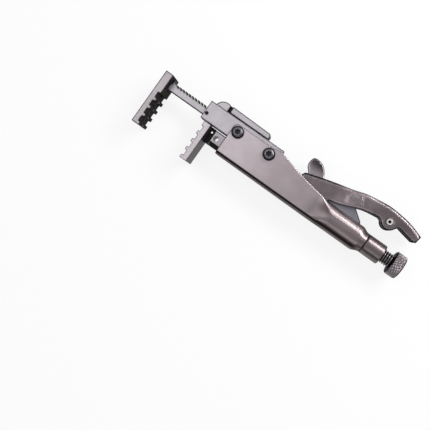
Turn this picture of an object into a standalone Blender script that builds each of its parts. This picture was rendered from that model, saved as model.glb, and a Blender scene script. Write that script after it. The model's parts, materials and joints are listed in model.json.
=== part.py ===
"""Locking hose clamp pliers, lying on their side.

Metres, +Z up. X runs along the tool from the front jaw to the adjuster knob, Y towards the
moving handle, Z through the thickness. The sizes below are in the tool's own frame: X = 0 at
the outer face of the front jaw, Y = 0 on the adjusting screw's axis, Z = 0 at mid-thickness.
The root empty puts the middle of the tool's footprint at the origin, on the surface it lies on.
"""

import math

import bmesh
import bpy
from mathutils import Matrix, Vector

MM = 0.001

# Clearances
SEAT_GAP = 0.3 * MM
OVERRUN = 2.0 * MM
MERGE = 0.002 * MM

# Jaws
JAW_WIDTH = 23.0 * MM
JAW_THICKNESS = 4.6 * MM
FRONT_JAW_OUT_X = -0.7 * MM
FRONT_JAW_THICKNESS = 4.95 * MM
FRONT_TOOTH_HEIGHT = 2.2 * MM
FRONT_JAW_TIP_Y = -28.0 * MM
REAR_JAW_TIP_Y = -29.7 * MM
FRONT_JAW_HEAD_Y = 21.0 * MM
REAR_JAW_HEAD_Y = 5.6 * MM
TOOTH_PITCH = 7.7 * MM
TOOTH_WIDTH = 3.1 * MM
TOOTH_HEIGHT = 1.9 * MM
TOOTH_COUNT = 4
JAW_GROOVE_WIDTH = 4.0 * MM
JAW_GROOVE_DEPTH = 1.0 * MM
JAW_CHAMFER = 0.35 * MM
REAR_JAW_BACK_X = 54.8 * MM
REAR_BOSS_LENGTH = 4.6 * MM
REAR_BOSS_WIDTH = 9.4 * MM
REAR_BOSS_LOW_Y = -8.2 * MM

# Ratchet bar
BAR_LOW_Y = 9.7 * MM
BAR_HEIGHT = 7.3 * MM
BAR_THICKNESS = 5.0 * MM
BAR_REAR_X = 84.0 * MM
BAR_SEAT_DEPTH = 3.4 * MM
BAR_WELD = 2.8 * MM
RACK_FIRST_X = 12.8 * MM
RACK_PITCH = 3.1 * MM
RACK_GAP = 1.6 * MM
RACK_DEPTH = 1.6 * MM
BAR_TRAVEL_OUT = 20.0 * MM
BAR_TRAVEL_IN = 29.0 * MM
STOP_PIN_RADIUS = 1.0 * MM
STOP_PIN_SETBACK = 4.0 * MM
STOP_PIN_BELOW = 1.2 * MM
STOP_PIN_GRIP = 4.8 * MM

# Bar housing
HOUSING_FRONT_X = 42.4 * MM
HOUSING_REAR_X = 114.6 * MM
HOUSING_LOW_Y = 6.4 * MM
HOUSING_HIGH_Y = 22.75 * MM
HOUSING_WIDTH = 11.4 * MM
HOUSING_CHAMFER = 0.4 * MM

# Guard on the housing
GUARD_FRONT_X = 60.1 * MM
GUARD_LENGTH = 38.2 * MM
GUARD_HEIGHT = 5.5 * MM
GUARD_FALL = 0.8 * MM
GUARD_INSET = 0.5 * MM
GUARD_ROUND = 2.2 * MM
CHEEK_LENGTH = 2.2 * MM
CHEEK_WALL = 1.3 * MM
TONGUE_INSET = 0.8 * MM

# Pawl
PAWL_PIVOT_X = 58.0 * MM
PAWL_PIVOT_Y = 19.6 * MM
PAWL_EYE_RADIUS = 2.1 * MM
PAWL_PIN_RADIUS = 1.1 * MM
PAWL_REACH = 8.0 * MM
PAWL_NOSE_WIDTH = 0.9 * MM
PAWL_TAB_X = 54.3 * MM
PAWL_TAB_RADIUS = 8.1 * MM
PAWL_TAB_CENTRE_Y = 20.9 * MM
PAWL_REAR_X = 57.4 * MM
PAWL_SPRING_Y = 25.6 * MM
PAWL_SPRING_LENGTH = 10.6 * MM
PAWL_SPRING_RADIUS = 1.25 * MM
PAWL_SPRING_WIRE = 0.5 * MM
PAWL_SPRING_TURNS = 6
PAWL_SLOT_FRONT_X = 45.6 * MM
NOSE_LEAD_SHARE = 0.6
NOSE_FLANK_SHARE = 0.6

# Drag screw of the bar
DRAG_SCREW_X = 44.8 * MM
DRAG_SCREW_Y = 12.0 * MM
DRAG_SCREW_RADIUS = 0.8 * MM

# Body channel
BODY_WALL = 2.0 * MM
BODY_WIDTH = HOUSING_WIDTH + 2 * (BODY_WALL + SEAT_GAP)
BODY_FRONT_X = 69.4 * MM
BODY_TOP_Y = 19.6 * MM
BODY_LOW_Y = -10.5 * MM
BODY_BEND_RADIUS = 3.0 * MM
BODY_EDGE_RADIUS = 0.5 * MM
BODY_CORNER_RADIUS = 3.6 * MM
CREST_START_X = 104.0 * MM
CREST_X = 114.0 * MM
CREST_Y = 20.9 * MM
CREST_FLAT = 0.6 * MM
TAPER_SAG = 1.2 * MM
THROAT_X = 165.7 * MM
THROAT_Y = 10.3 * MM
NECK_ROUND_START_X = 158.0 * MM
NECK_ROUND_END_X = 176.0 * MM
NECK_WIDTH = 19.2 * MM
ROUND_SHARE = 0.98
NECK_WALL = 1.5 * MM
NECK_TOP_Y = 11.0 * MM
NECK_LOW_Y = -10.9 * MM
SHOULDER_X = 201.8 * MM
SHOULDER_LEAD = 1.2 * MM
NECK_END_X = 209.0 * MM
CAVITY_END_X = 167.5 * MM
NECK_SLOT_END_X = 202.0 * MM

# Adjuster
TUBE_RADIUS = 8.5 * MM
NUT_REAR_X = 226.2 * MM
NUT_SPIGOT = 2.8 * MM
NUT_CHAMFER = 0.5 * MM
SCREW_RADIUS = 5.7 * MM
DOG_RADIUS = 2.0 * MM
DOG_LENGTH = 1.9 * MM
CAP_FRONT_X = 206.9 * MM
CAP_LENGTH = 3.0 * MM
CAP_RADIUS = 4.4 * MM
KNOB_FRONT_X = 235.1 * MM
KNOB_LENGTH = 9.5 * MM
KNOB_RADIUS = 10.2 * MM
KNOB_CHAMFER = 0.9 * MM
KNOB_STUD_RADIUS = 3.8 * MM
KNOB_STUD_LENGTH = 7.6 * MM

# Housing screws
HOUSING_SCREW_FRONT_X = 75.1 * MM
HOUSING_SCREW_SPACING = 30.7 * MM
HOUSING_SCREW_Y = 13.5 * MM
HOUSING_SCREW_RADIUS = 3.0 * MM
SCREW_HEAD_RADIUS = 5.25 * MM
SCREW_HEAD_HEIGHT = 3.0 * MM
SCREW_HEAD_RIM = 0.6 * MM
SOCKET_RADIUS = 2.2 * MM
SOCKET_DEPTH = 1.7 * MM

# Push bar
PUSH_FRONT_X = 59.7 * MM
PUSH_WIDE_END_X = 122.0 * MM
PUSH_TOP_Y = 5.0 * MM
PUSH_TOP_CHAMFER = 0.8 * MM
PUSH_LOW_Y = -5.0 * MM
PUSH_TONGUE_WIDTH = 7.0 * MM
PUSH_EYE_RADIUS = 5.0 * MM
RIB_FRONT_X = 60.6 * MM
RIB_WIDTH = 7.0 * MM
TENON_LENGTH = 6.6 * MM
TENON_WIDTH = 6.4 * MM
TENON_LOW_Y = -3.6 * MM
TENON_TOP_Y = 3.0 * MM
JAW_PIN_X = 57.5 * MM
JAW_PIN_Y = 1.6 * MM
JAW_PIN_RADIUS = 0.8 * MM
CROSS_HOLE_X = 63.4 * MM
CROSS_HOLE_Y = -0.8 * MM
CROSS_HOLE_RADIUS = 2.1 * MM

# Return spring and its posts
HOOK_POST_X = 78.0 * MM
ANCHOR_POST_X = 112.3 * MM
POST_RADIUS = 1.0 * MM
POST_GRIP = 5.7 * MM
RETURN_SPRING_Y = 4.2 * MM
RETURN_SPRING_RADIUS = 1.45 * MM
RETURN_SPRING_WIRE = 0.6 * MM
RETURN_SPRING_TURNS = 12
SPRING_LEAD = 1.2 * MM

# Handle
PIVOT_X = 134.0 * MM
PIVOT_EYE_RADIUS = 5.6 * MM
PIVOT_PIN_RADIUS = 2.5 * MM
HANDLE_FRONT_X = 138.3 * MM
HANDLE_LENGTH = 104.4 * MM
HANDLE_RISE = 35.7 * MM
HANDLE_WIDTH = HOUSING_WIDTH
HANDLE_WALL = 1.8 * MM
HANDLE_EDGE_RADIUS = 2.0 * MM
PAD_HEIGHT = 0.3 * MM
LINK_PIVOT_SHARE = 0.2079
LINK_PIVOT_X = HANDLE_FRONT_X + LINK_PIVOT_SHARE * HANDLE_LENGTH
LINK_PIVOT_Y = -0.6 * MM
LINK_EYE_RADIUS = 5.0 * MM
LINK_PIN_RADIUS = 2.2 * MM
RIVET_SHARES = (0.738, 0.700)
RIVET_X = HANDLE_FRONT_X + RIVET_SHARES[0] * HANDLE_LENGTH
RIVET_Y = RIVET_SHARES[1] * HANDLE_RISE
RIVET_BOSS_SHARE = 0.067
RIVET_BOSS_RADIUS = RIVET_BOSS_SHARE * HANDLE_LENGTH
RIVET_RADIUS = 2.0 * MM
RIVET_HEAD_RADIUS = 2.9 * MM
RIVET_HEAD_HEIGHT = 0.9 * MM
RIVET_BORE_RADIUS = 1.3 * MM
RIVET_BORE_DEPTH = 2.4 * MM
TAB_SLOT_WIDTH = 6.8 * MM
TAB_SLOT_END_X = 157.0 * MM

# Toggle link
LINK_WIDTH = 6.0 * MM
HEEL_X = 205.5 * MM
HEEL_RADIUS = 3.4 * MM

# Release lever
LEVER_WIDTH = 4.4 * MM
LEVER_EYE_RADIUS = 4.4 * MM
TAB_WIDTH = 6.2 * MM
TAB_ROUND = 1.8 * MM

# Handle outline, as shares of its length from the front and of its rise
HANDLE_TOP_SHARES = (
    (0.0, 0.532), (0.19, 0.698), (0.375, 0.832), (0.48, 0.925), (0.59, 0.975),
    (0.69, 1.0), (0.81, 0.972), (0.90, 0.924), (1.0, 0.828),
)
HANDLE_TAIL_SHARES = ((0.990, 0.642), (0.966, 0.620), (0.876, 0.670), (0.822, 0.708))
HANDLE_GRIP_SHARES = (
    (0.655, 0.640), (0.598, 0.620), (0.53, 0.583), (0.47, 0.522), (0.354, 0.380), (0.262, 0.306),
)
# Release lever outline, in the same shares
LEVER_TOP_SHARES = ((0.62, 0.862), (0.482, 0.812), (0.375, 0.730), (0.265, 0.650), (0.17, 0.590))
LEVER_LOW_SHARES = (
    (0.045, 0.430), (0.11, 0.425), (0.265, 0.505), (0.375, 0.583), (0.50, 0.660), (0.62, 0.672),
)
TAB_SHARES = (
    (0.139, 0.672), (0.115, 0.790), (0.080, 0.885), (0.038, 0.930), (-0.004, 0.920),
    (-0.020, 0.855), (-0.022, 0.705), (0.018, 0.566),
)
# Stamped pad on each side of the handle, in the same shares
PAD_SHARES = ((0.385, 0.480), (0.500, 0.630), (0.478, 0.800), (0.365, 0.690))
# Link outline, as shares of the distance from link pivot to heel and of the handle's rise
LINK_BACK_SHARES = (
    (0.11, 0.29), (0.20, 0.38), (0.37, 0.47), (0.48, 0.555), (0.53, 0.575), (0.565, 0.558), (0.63, 0.500),
)
LINK_REAR_SHARES = ((0.815, 0.325), (0.840, 0.21))

# Counts of facets
CURVE_STEPS = 4
PIN_SIDES = 20
ROUND_SIDES = 40
CORNER_STEPS = 6
SPRING_STEPS = 10

# Colours
SATIN = (0.56, 0.55, 0.57, 1.0)
PHOSPHATE = (0.20, 0.17, 0.18, 1.0)
BLACKENED = (0.05, 0.05, 0.055, 1.0)
BRIGHT = (0.80, 0.79, 0.77, 1.0)
SPRING_STEEL = (0.42, 0.42, 0.43, 1.0)

HALF_JAW = JAW_WIDTH / 2
FRONT_FACE_X = FRONT_JAW_OUT_X + FRONT_JAW_THICKNESS
FRONT_HEAD_X = FRONT_FACE_X + FRONT_TOOTH_HEIGHT
HALF_BAR = BAR_THICKNESS / 2
HALF_HOUSING = HOUSING_WIDTH / 2
HALF_BODY = BODY_WIDTH / 2
HALF_CAVITY = HALF_BODY - BODY_WALL
HALF_HANDLE = HANDLE_WIDTH / 2
HALF_HANDLE_INSIDE = HALF_HANDLE - HANDLE_WALL
BAR_TOP_Y = BAR_LOW_Y + BAR_HEIGHT
CAVITY_LOW_Y = BODY_LOW_Y + BODY_WALL
STOP_PIN_X = BAR_REAR_X - STOP_PIN_SETBACK


# The scene, its collections and its empties


def clear_scene():
    for thing in list(bpy.data.objects):
        bpy.data.objects.remove(thing, do_unlink=True)


def collection(name):
    made = bpy.data.collections.new(name)
    bpy.context.scene.collection.children.link(made)
    return made


def empty(name, at, parent=None):
    """An empty at a place in the tool's frame; joints turn or slide about these."""
    made = bpy.data.objects.new(name, None)
    PARTS.objects.link(made)
    made.empty_display_size = JAW_THICKNESS
    made["tool_place"] = at
    made.parent = parent
    made.location = Vector(at) - place_of(parent) if parent else Vector(at)
    return made


def place_of(pivot):
    return Vector(pivot["tool_place"])


def adopt(made, pivot):
    """Hangs an object, modelled in the tool's frame, on a pivot."""
    made.data.transform(Matrix.Translation(-place_of(pivot)))
    made.parent = pivot
    return made


def steel(name, colour, roughness):
    made = bpy.data.materials.new(name)
    made.use_nodes = True
    surface = made.node_tree.nodes["Principled BSDF"]
    surface.inputs["Base Color"].default_value = colour
    surface.inputs["Roughness"].default_value = roughness
    surface.inputs["Metallic"].default_value = 1.0
    made.diffuse_color = colour
    return made


def satin_steel():
    return steel("satin_steel", SATIN, 0.42)


def phosphate_steel():
    return steel("phosphate_steel", PHOSPHATE, 0.48)


def blackened_steel():
    return steel("blackened_steel", BLACKENED, 0.38)


def bright_steel():
    return steel("bright_steel", BRIGHT, 0.22)


def spring_steel():
    return steel("spring_steel", SPRING_STEEL, 0.35)


# Solids, each made in the tool's frame


def as_object(name, bm, material=None):
    mesh = bpy.data.meshes.new(name)
    bmesh.ops.remove_doubles(bm, verts=bm.verts, dist=MERGE)
    bmesh.ops.recalc_face_normals(bm, faces=bm.faces)
    bm.to_mesh(mesh)
    bm.free()
    made = bpy.data.objects.new(name, mesh)
    PARTS.objects.link(made)
    if material:
        mesh.materials.append(material)
    return made


def shade(made, angle=math.radians(30)):
    made.data.shade_smooth()
    made.data.set_sharp_from_angle(angle=angle)
    return made


def block(name, low, high, material=None):
    bm = bmesh.new()
    bmesh.ops.create_cube(bm, size=1.0)
    size = Vector(high) - Vector(low)
    bmesh.ops.scale(bm, vec=size, verts=bm.verts)
    bmesh.ops.translate(bm, vec=Vector(low) + size / 2, verts=bm.verts)
    return as_object(name, bm, material)


def rod(name, start, end, radius, material=None, sides=PIN_SIDES):
    start = Vector(start)
    run = Vector(end) - start
    bm = bmesh.new()
    bmesh.ops.create_cone(
        bm, cap_ends=True, segments=sides, radius1=radius, radius2=radius, depth=run.length
    )
    turn = run.to_track_quat("Z", "Y").to_matrix().to_4x4()
    bm.transform(Matrix.Translation(start + run / 2) @ turn)
    return shade(as_object(name, bm, material))


def converted(name, thing, material):
    """A curve, or a mesh with modifiers, made into a plain mesh object; the original is removed."""
    graph = bpy.context.evaluated_depsgraph_get()
    mesh = bpy.data.meshes.new_from_object(thing.evaluated_get(graph))
    bm = bmesh.new()
    bm.from_mesh(mesh)
    bm.transform(thing.matrix_world)
    bpy.data.meshes.remove(mesh)
    bpy.data.objects.remove(thing, do_unlink=True)
    return as_object(name, bm, material)


def plate(name, outlines, z_low, z_high, material=None):
    """A flat piece: the first outline is its edge and the rest are holes, each a list of (x, y)."""
    curve = bpy.data.curves.new(name + "_outline", "CURVE")
    curve.dimensions = "2D"
    curve.fill_mode = "BOTH"
    curve.extrude = (z_high - z_low) / 2
    for outline in outlines:
        spline = curve.splines.new("POLY")
        spline.points.add(len(outline) - 1)
        for point, (x, y) in zip(spline.points, outline):
            point.co = (x, y, 0.0, 1.0)
        spline.use_cyclic_u = True
    thing = bpy.data.objects.new(name + "_outline", curve)
    PARTS.objects.link(thing)
    thing.location.z = (z_high + z_low) / 2
    bpy.context.view_layer.update()
    return shade(converted(name, thing, material))


def turned(name, profile, centre, along, material=None, sides=ROUND_SIDES):
    """A turned piece: (station, radius) pairs spun about a line through centre, along x or z."""
    mesh = bpy.data.meshes.new(name + "_profile")
    points = [(radius, 0.0, station) for station, radius in profile]
    mesh.from_pydata(points, [(i, i + 1) for i in range(len(points) - 1)], [])
    thing = bpy.data.objects.new(name + "_profile", mesh)
    PARTS.objects.link(thing)
    screw = thing.modifiers.new("spin", "SCREW")
    screw.steps = sides
    screw.render_steps = sides
    screw.use_merge_vertices = True
    screw.merge_threshold = MERGE
    turn = Matrix.Rotation(math.pi / 2, 4, "Y") if along == "x" else Matrix.Identity(4)
    thing.matrix_world = Matrix.Translation(centre) @ turn
    bpy.context.view_layer.update()
    return shade(converted(name, thing, material))


def wire(name, points, radius, material):
    """A round wire through the points, as one closed tube."""
    curve = bpy.data.curves.new(name + "_path", "CURVE")
    curve.dimensions = "3D"
    curve.bevel_depth = radius
    curve.bevel_resolution = 1
    curve.use_fill_caps = True
    spline = curve.splines.new("POLY")
    spline.points.add(len(points) - 1)
    for point, place in zip(spline.points, points):
        point.co = (*place, 1.0)
    thing = bpy.data.objects.new(name + "_path", curve)
    PARTS.objects.link(thing)
    bpy.context.view_layer.update()
    return shade(converted(name, thing, material), math.radians(60))


def loft(name, sections, material=None):
    """A skin through rings of equally many points, closed at both ends."""
    bm = bmesh.new()
    rings = [[bm.verts.new(point) for point in section] for section in sections]
    count = len(rings[0])
    for near, far in zip(rings, rings[1:]):
        for i in range(count):
            j = (i + 1) % count
            bm.faces.new((near[i], near[j], far[j], far[i]))
    bm.faces.new(rings[0][::-1])
    bm.faces.new(rings[-1])
    return shade(as_object(name, bm, material))


def boolean(target, tool, operation):
    """Leaves the tool object as a hidden wire helper that cuts or joins the target."""
    PARTS.objects.unlink(tool)
    CUTTERS.objects.link(tool)
    tool.hide_render = True
    tool.display_type = "WIRE"
    change = target.modifiers.new(tool.name, "BOOLEAN")
    change.operation = operation
    change.object = tool
    change.solver = "EXACT"
    tool["target"] = target.name
    return target


def cut(target, tool):
    return boolean(target, tool, "DIFFERENCE")


def join(target, tool):
    return boolean(target, tool, "UNION")


def bevelled(made, width, segments=2):
    bevel = made.modifiers.new("edges", "BEVEL")
    bevel.width = width
    bevel.segments = segments
    bevel.limit_method = "ANGLE"
    bevel.angle_limit = math.radians(40)
    return made


def hang(made, pivot):
    """Hangs an object and every helper that shapes it on one pivot."""
    for change in made.modifiers:
        if change.type == "BOOLEAN":
            adopt(change.object, pivot)
    return adopt(made, pivot)


# Outlines


def arc(centre, radius, start, end, steps=CORNER_STEPS):
    """Points on an arc; the angles are in degrees, anticlockwise from +X."""
    points = []
    for i in range(steps + 1):
        angle = math.radians(start + (end - start) * i / steps)
        points.append((centre[0] + radius * math.cos(angle), centre[1] + radius * math.sin(angle)))
    return points


def circle(centre, radius, sides=PIN_SIDES):
    return arc(centre, radius, 0.0, 360.0 * (sides - 1) / sides, sides - 1)


def smooth(points, steps=CURVE_STEPS):
    """A Catmull-Rom curve through the points, from the first to the last."""
    ends = [
        (2 * points[0][0] - points[1][0], 2 * points[0][1] - points[1][1]),
        *points,
        (2 * points[-1][0] - points[-2][0], 2 * points[-1][1] - points[-2][1]),
    ]
    path = []
    for before, start, end, after in zip(ends, ends[1:], ends[2:], ends[3:]):
        for i in range(steps):
            t = i / steps
            path.append(tuple(
                0.5 * (2 * b + (c - a) * t + (2 * a - 5 * b + 4 * c - d) * t * t
                       + (3 * b - a - 3 * c + d) * t ** 3)
                for a, b, c, d in zip(before, start, end, after)
            ))
    return [*path, tuple(points[-1])]


def moved_sideways(points, distance):
    """The open line moved to the right of its own direction."""
    moved = []
    for i, point in enumerate(points):
        before = Vector(points[max(i - 1, 0)])
        after = Vector(points[min(i + 1, len(points) - 1)])
        along = (after - before).normalized()
        moved.append((point[0] + along.y * distance, point[1] - along.x * distance))
    return moved


def handle_points(shares):
    return [(HANDLE_FRONT_X + a * HANDLE_LENGTH, b * HANDLE_RISE) for a, b in shares]


def link_points(shares):
    reach = HEEL_X - LINK_PIVOT_X
    return [(LINK_PIVOT_X + a * reach, b * HANDLE_RISE) for a, b in shares]


def jaw_outline(back_x, face_x, tooth_x, tip_y, head_y):
    """A jaw seen from the side, with square teeth below a thick head."""
    outline = [(back_x, head_y), (back_x, tip_y)]
    for i in range(TOOTH_COUNT):
        low = tip_y + i * TOOTH_PITCH
        outline += [(tooth_x, low), (tooth_x, low + TOOTH_WIDTH)]
        outline += [(face_x, low + TOOTH_WIDTH), (face_x, low + TOOTH_PITCH)]
    return [*outline, (tooth_x, tip_y + TOOTH_COUNT * TOOTH_PITCH), (tooth_x, head_y)]


def rack_outline():
    """The ratchet bar seen from the side, with its weld fillets and its square rack."""
    face_x = FRONT_HEAD_X + SEAT_GAP
    seat_x = face_x - SEAT_GAP - BAR_SEAT_DEPTH
    weld_end = face_x + BAR_WELD
    seat_low = BAR_LOW_Y + SEAT_GAP
    seat_top = BAR_TOP_Y - RACK_DEPTH
    outline = [(seat_x, seat_top), (seat_x, seat_low), (face_x, seat_low)]
    outline += [(face_x, BAR_LOW_Y - BAR_WELD / 3), (face_x + BAR_WELD / 2, BAR_LOW_Y)]
    outline += [(BAR_REAR_X, BAR_LOW_Y), (BAR_REAR_X, BAR_TOP_Y)]
    room = BAR_REAR_X - STOP_PIN_RADIUS - RACK_FIRST_X
    for i in reversed(range(int(room / RACK_PITCH) + 1)):
        middle = RACK_FIRST_X + i * RACK_PITCH
        outline += [
            (middle + RACK_GAP / 2, BAR_TOP_Y), (middle + RACK_GAP / 2, BAR_TOP_Y - RACK_DEPTH),
            (middle - RACK_GAP / 2, BAR_TOP_Y - RACK_DEPTH), (middle - RACK_GAP / 2, BAR_TOP_Y),
        ]
    outline += [(weld_end, BAR_TOP_Y), (face_x, BAR_TOP_Y + BAR_WELD), (face_x, seat_top)]
    return outline


# Front jaw and ratchet bar


def front_jaw(pivot, material):
    outline = jaw_outline(FRONT_JAW_OUT_X, FRONT_FACE_X, FRONT_HEAD_X, FRONT_JAW_TIP_Y, FRONT_JAW_HEAD_Y)
    made = plate("front_jaw", [outline], -HALF_JAW, HALF_JAW, material)
    groove = block(
        "front_jaw_groove",
        (FRONT_FACE_X - JAW_GROOVE_DEPTH, FRONT_JAW_TIP_Y - OVERRUN, -JAW_GROOVE_WIDTH / 2),
        (FRONT_HEAD_X + OVERRUN, FRONT_JAW_TIP_Y + TOOTH_COUNT * TOOTH_PITCH, JAW_GROOVE_WIDTH / 2),
    )
    socket = block(
        "front_jaw_socket",
        (FRONT_HEAD_X - BAR_SEAT_DEPTH - SEAT_GAP, BAR_LOW_Y, -HALF_BAR - SEAT_GAP),
        (FRONT_HEAD_X + OVERRUN, BAR_TOP_Y - RACK_DEPTH + SEAT_GAP, HALF_BAR + SEAT_GAP),
    )
    return hang(cut(cut(bevelled(made, JAW_CHAMFER, 1), groove), socket), pivot)


def ratchet_bar(pivot, material):
    made = plate("ratchet_bar", [rack_outline()], -HALF_BAR, HALF_BAR, material)
    hole = rod(
        "ratchet_bar_pin_hole",
        (STOP_PIN_X, BAR_LOW_Y - OVERRUN, 0.0),
        (STOP_PIN_X, BAR_LOW_Y + STOP_PIN_GRIP + SEAT_GAP, 0.0),
        STOP_PIN_RADIUS + SEAT_GAP,
    )
    return hang(cut(made, hole), pivot)


def bar_stop_pin(pivot, material):
    low = (STOP_PIN_X, BAR_LOW_Y - STOP_PIN_BELOW, 0.0)
    high = (STOP_PIN_X, BAR_LOW_Y + STOP_PIN_GRIP, 0.0)
    return hang(rod("bar_stop_pin", low, high, STOP_PIN_RADIUS, material), pivot)


# Bar housing and what it holds


def screw_places():
    return [HOUSING_SCREW_FRONT_X, HOUSING_SCREW_FRONT_X + HOUSING_SCREW_SPACING]


def screw_holes(owner):
    reach = HALF_BODY + OVERRUN
    for i, x in enumerate(screw_places()):
        hole = rod(
            f"{owner.name}_screw_hole_{i}", (x, HOUSING_SCREW_Y, -reach), (x, HOUSING_SCREW_Y, reach),
            HOUSING_SCREW_RADIUS + SEAT_GAP,
        )
        cut(owner, hole)
    return owner


def bar_housing(pivot, material):
    made = block(
        "bar_housing",
        (HOUSING_FRONT_X, HOUSING_LOW_Y, -HALF_HOUSING),
        (HOUSING_REAR_X, HOUSING_HIGH_Y, HALF_HOUSING),
        material,
    )
    bevelled(made, HOUSING_CHAMFER)
    half_way = HALF_BAR + SEAT_GAP
    cut(made, block(
        "housing_bar_way",
        (HOUSING_FRONT_X - OVERRUN, BAR_LOW_Y - SEAT_GAP, -half_way),
        (HOUSING_REAR_X + OVERRUN, BAR_TOP_Y + SEAT_GAP, half_way),
    ))
    cut(made, block(
        "housing_pawl_slot",
        (PAWL_SLOT_FRONT_X, BAR_TOP_Y, -half_way),
        (GUARD_FRONT_X + GUARD_LENGTH - TONGUE_INSET, HOUSING_HIGH_Y + OVERRUN, half_way),
    ))
    slot_half = STOP_PIN_RADIUS + SEAT_GAP
    cut(made, block(
        "housing_stop_slot",
        (STOP_PIN_X - BAR_TRAVEL_OUT - slot_half, HOUSING_LOW_Y - OVERRUN, -slot_half),
        (STOP_PIN_X + BAR_TRAVEL_IN + slot_half, BAR_LOW_Y, slot_half),
    ))
    cut(made, rod(
        "housing_anchor_hole",
        (ANCHOR_POST_X, HOUSING_LOW_Y - OVERRUN, 0.0), (ANCHOR_POST_X, BAR_LOW_Y, 0.0),
        POST_RADIUS + SEAT_GAP,
    ))
    cut(made, rod(
        "housing_pawl_pin_hole",
        (PAWL_PIVOT_X, PAWL_PIVOT_Y, -HALF_HOUSING - OVERRUN),
        (PAWL_PIVOT_X, PAWL_PIVOT_Y, HALF_HOUSING - BODY_WALL / 2),
        PAWL_PIN_RADIUS + SEAT_GAP,
    ))
    cut(made, rod(
        "housing_drag_hole",
        (DRAG_SCREW_X, DRAG_SCREW_Y, 0.0), (DRAG_SCREW_X, DRAG_SCREW_Y, HALF_HOUSING + OVERRUN),
        DRAG_SCREW_RADIUS + SEAT_GAP,
    ))
    return hang(screw_holes(made), pivot)


def bar_drag_screw(pivot, material):
    start = (DRAG_SCREW_X, DRAG_SCREW_Y, HALF_BAR + 2 * SEAT_GAP)
    end = (DRAG_SCREW_X, DRAG_SCREW_Y, HALF_HOUSING - 2 * SEAT_GAP)
    return hang(rod("bar_drag_screw", start, end, DRAG_SCREW_RADIUS, material), pivot)


def housing_guard(pivot, material):
    low = HOUSING_HIGH_Y + SEAT_GAP
    high = low + GUARD_HEIGHT
    rear = GUARD_FRONT_X + GUARD_LENGTH
    rear_high = high - GUARD_FALL
    outline = [(GUARD_FRONT_X, high), (GUARD_FRONT_X, low), (rear - GUARD_ROUND / 2, low)]
    outline += arc((rear - GUARD_ROUND / 2, low + GUARD_ROUND / 2), GUARD_ROUND / 2, -90.0, 0.0)[1:]
    outline += arc((rear - GUARD_ROUND, rear_high - GUARD_ROUND), GUARD_ROUND, 0.0, 90.0)
    half_guard = HALF_HOUSING - GUARD_INSET
    made = plate("housing_guard", [outline], -half_guard, half_guard, material)
    bevelled(made, HOUSING_CHAMFER)
    join(made, block(
        "guard_tongue",
        (GUARD_FRONT_X + HOUSING_CHAMFER, BAR_TOP_Y + 2 * SEAT_GAP, -HALF_BAR),
        (rear - TONGUE_INSET - SEAT_GAP, low + GUARD_HEIGHT / 4, HALF_BAR),
    ))
    inner = HALF_BAR + SEAT_GAP
    for side in (-1, 1):
        near, far = sorted((side * inner, side * (inner + CHEEK_WALL)))
        join(made, block(
            "guard_cheek",
            (GUARD_FRONT_X - CHEEK_LENGTH, low, near),
            (GUARD_FRONT_X + 2 * HOUSING_CHAMFER, high - HOUSING_CHAMFER, far),
        ))
    cut(made, rod(
        "guard_spring_bore",
        (GUARD_FRONT_X - OVERRUN, PAWL_SPRING_Y, 0.0),
        (PAWL_REAR_X + PAWL_SPRING_LENGTH + 2 * SEAT_GAP, PAWL_SPRING_Y, 0.0),
        PAWL_SPRING_RADIUS + PAWL_SPRING_WIRE / 2 + SEAT_GAP,
    ))
    return hang(made, pivot)


def pawl_nose_x():
    """Middle of the nose, which drops into the rack gap nearest to the pawl's reach.

    The nose swings back a little as it drops, so it starts ahead of the gap's middle.
    """
    wanted = PAWL_PIVOT_X - PAWL_REACH
    steps = round((wanted - RACK_FIRST_X) / RACK_PITCH)
    drop = RACK_DEPTH * (PAWL_PIVOT_Y - BAR_TOP_Y) / PAWL_REACH
    return RACK_FIRST_X + steps * RACK_PITCH - drop * NOSE_LEAD_SHARE


def ratchet_pawl(pivot, material):
    nose_y = BAR_TOP_Y + SEAT_GAP
    root_y = nose_y + RACK_DEPTH
    flank = PAWL_NOSE_WIDTH * NOSE_FLANK_SHARE
    nose = pawl_nose_x()
    centre = (PAWL_PIVOT_X, PAWL_PIVOT_Y)
    tab = (PAWL_TAB_X, PAWL_TAB_CENTRE_Y)
    rear_angle = math.degrees(math.acos((PAWL_REAR_X - PAWL_TAB_X) / PAWL_TAB_RADIUS))
    outline = [(nose - PAWL_NOSE_WIDTH / 2, nose_y), (nose + PAWL_NOSE_WIDTH / 2, nose_y)]
    outline += [(nose + flank, root_y)]
    outline += arc(centre, PAWL_EYE_RADIUS, -135.0, 60.0)
    outline += [(PAWL_REAR_X, HOUSING_HIGH_Y)]
    outline += arc(tab, PAWL_TAB_RADIUS, rear_angle, 176.0, 2 * CORNER_STEPS)
    outline += [(nose - flank, root_y)]
    hole = circle(centre, PAWL_PIN_RADIUS + SEAT_GAP)
    return hang(plate("ratchet_pawl", [outline, hole], -HALF_BAR, HALF_BAR, material), pivot)


def pawl_pin(pivot, material):
    start = (PAWL_PIVOT_X, PAWL_PIVOT_Y, -HALF_HOUSING)
    end = (PAWL_PIVOT_X, PAWL_PIVOT_Y, HALF_HOUSING - BODY_WALL / 2 - SEAT_GAP)
    return hang(rod("pawl_pin", start, end, PAWL_PIN_RADIUS, material), pivot)


def helix(start_x, end_x, axis_y, radius, turns):
    """A coil about a line along X, starting and ending below the line in Z."""
    steps = turns * SPRING_STEPS
    points = []
    for i in range(steps + 1):
        angle = 2 * math.pi * i / SPRING_STEPS - math.pi / 2
        x = start_x + (end_x - start_x) * i / steps
        points.append((x, axis_y + radius * math.cos(angle), radius * math.sin(angle)))
    return points


def least_gap(points, wire_size, skip):
    """The least clear distance of a coiled wire to itself, past its own neighbouring points."""
    least = float("inf")
    for i, point in enumerate(points):
        for other in points[i + skip:]:
            least = min(least, math.dist(point, other) - wire_size)
    return least


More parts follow.
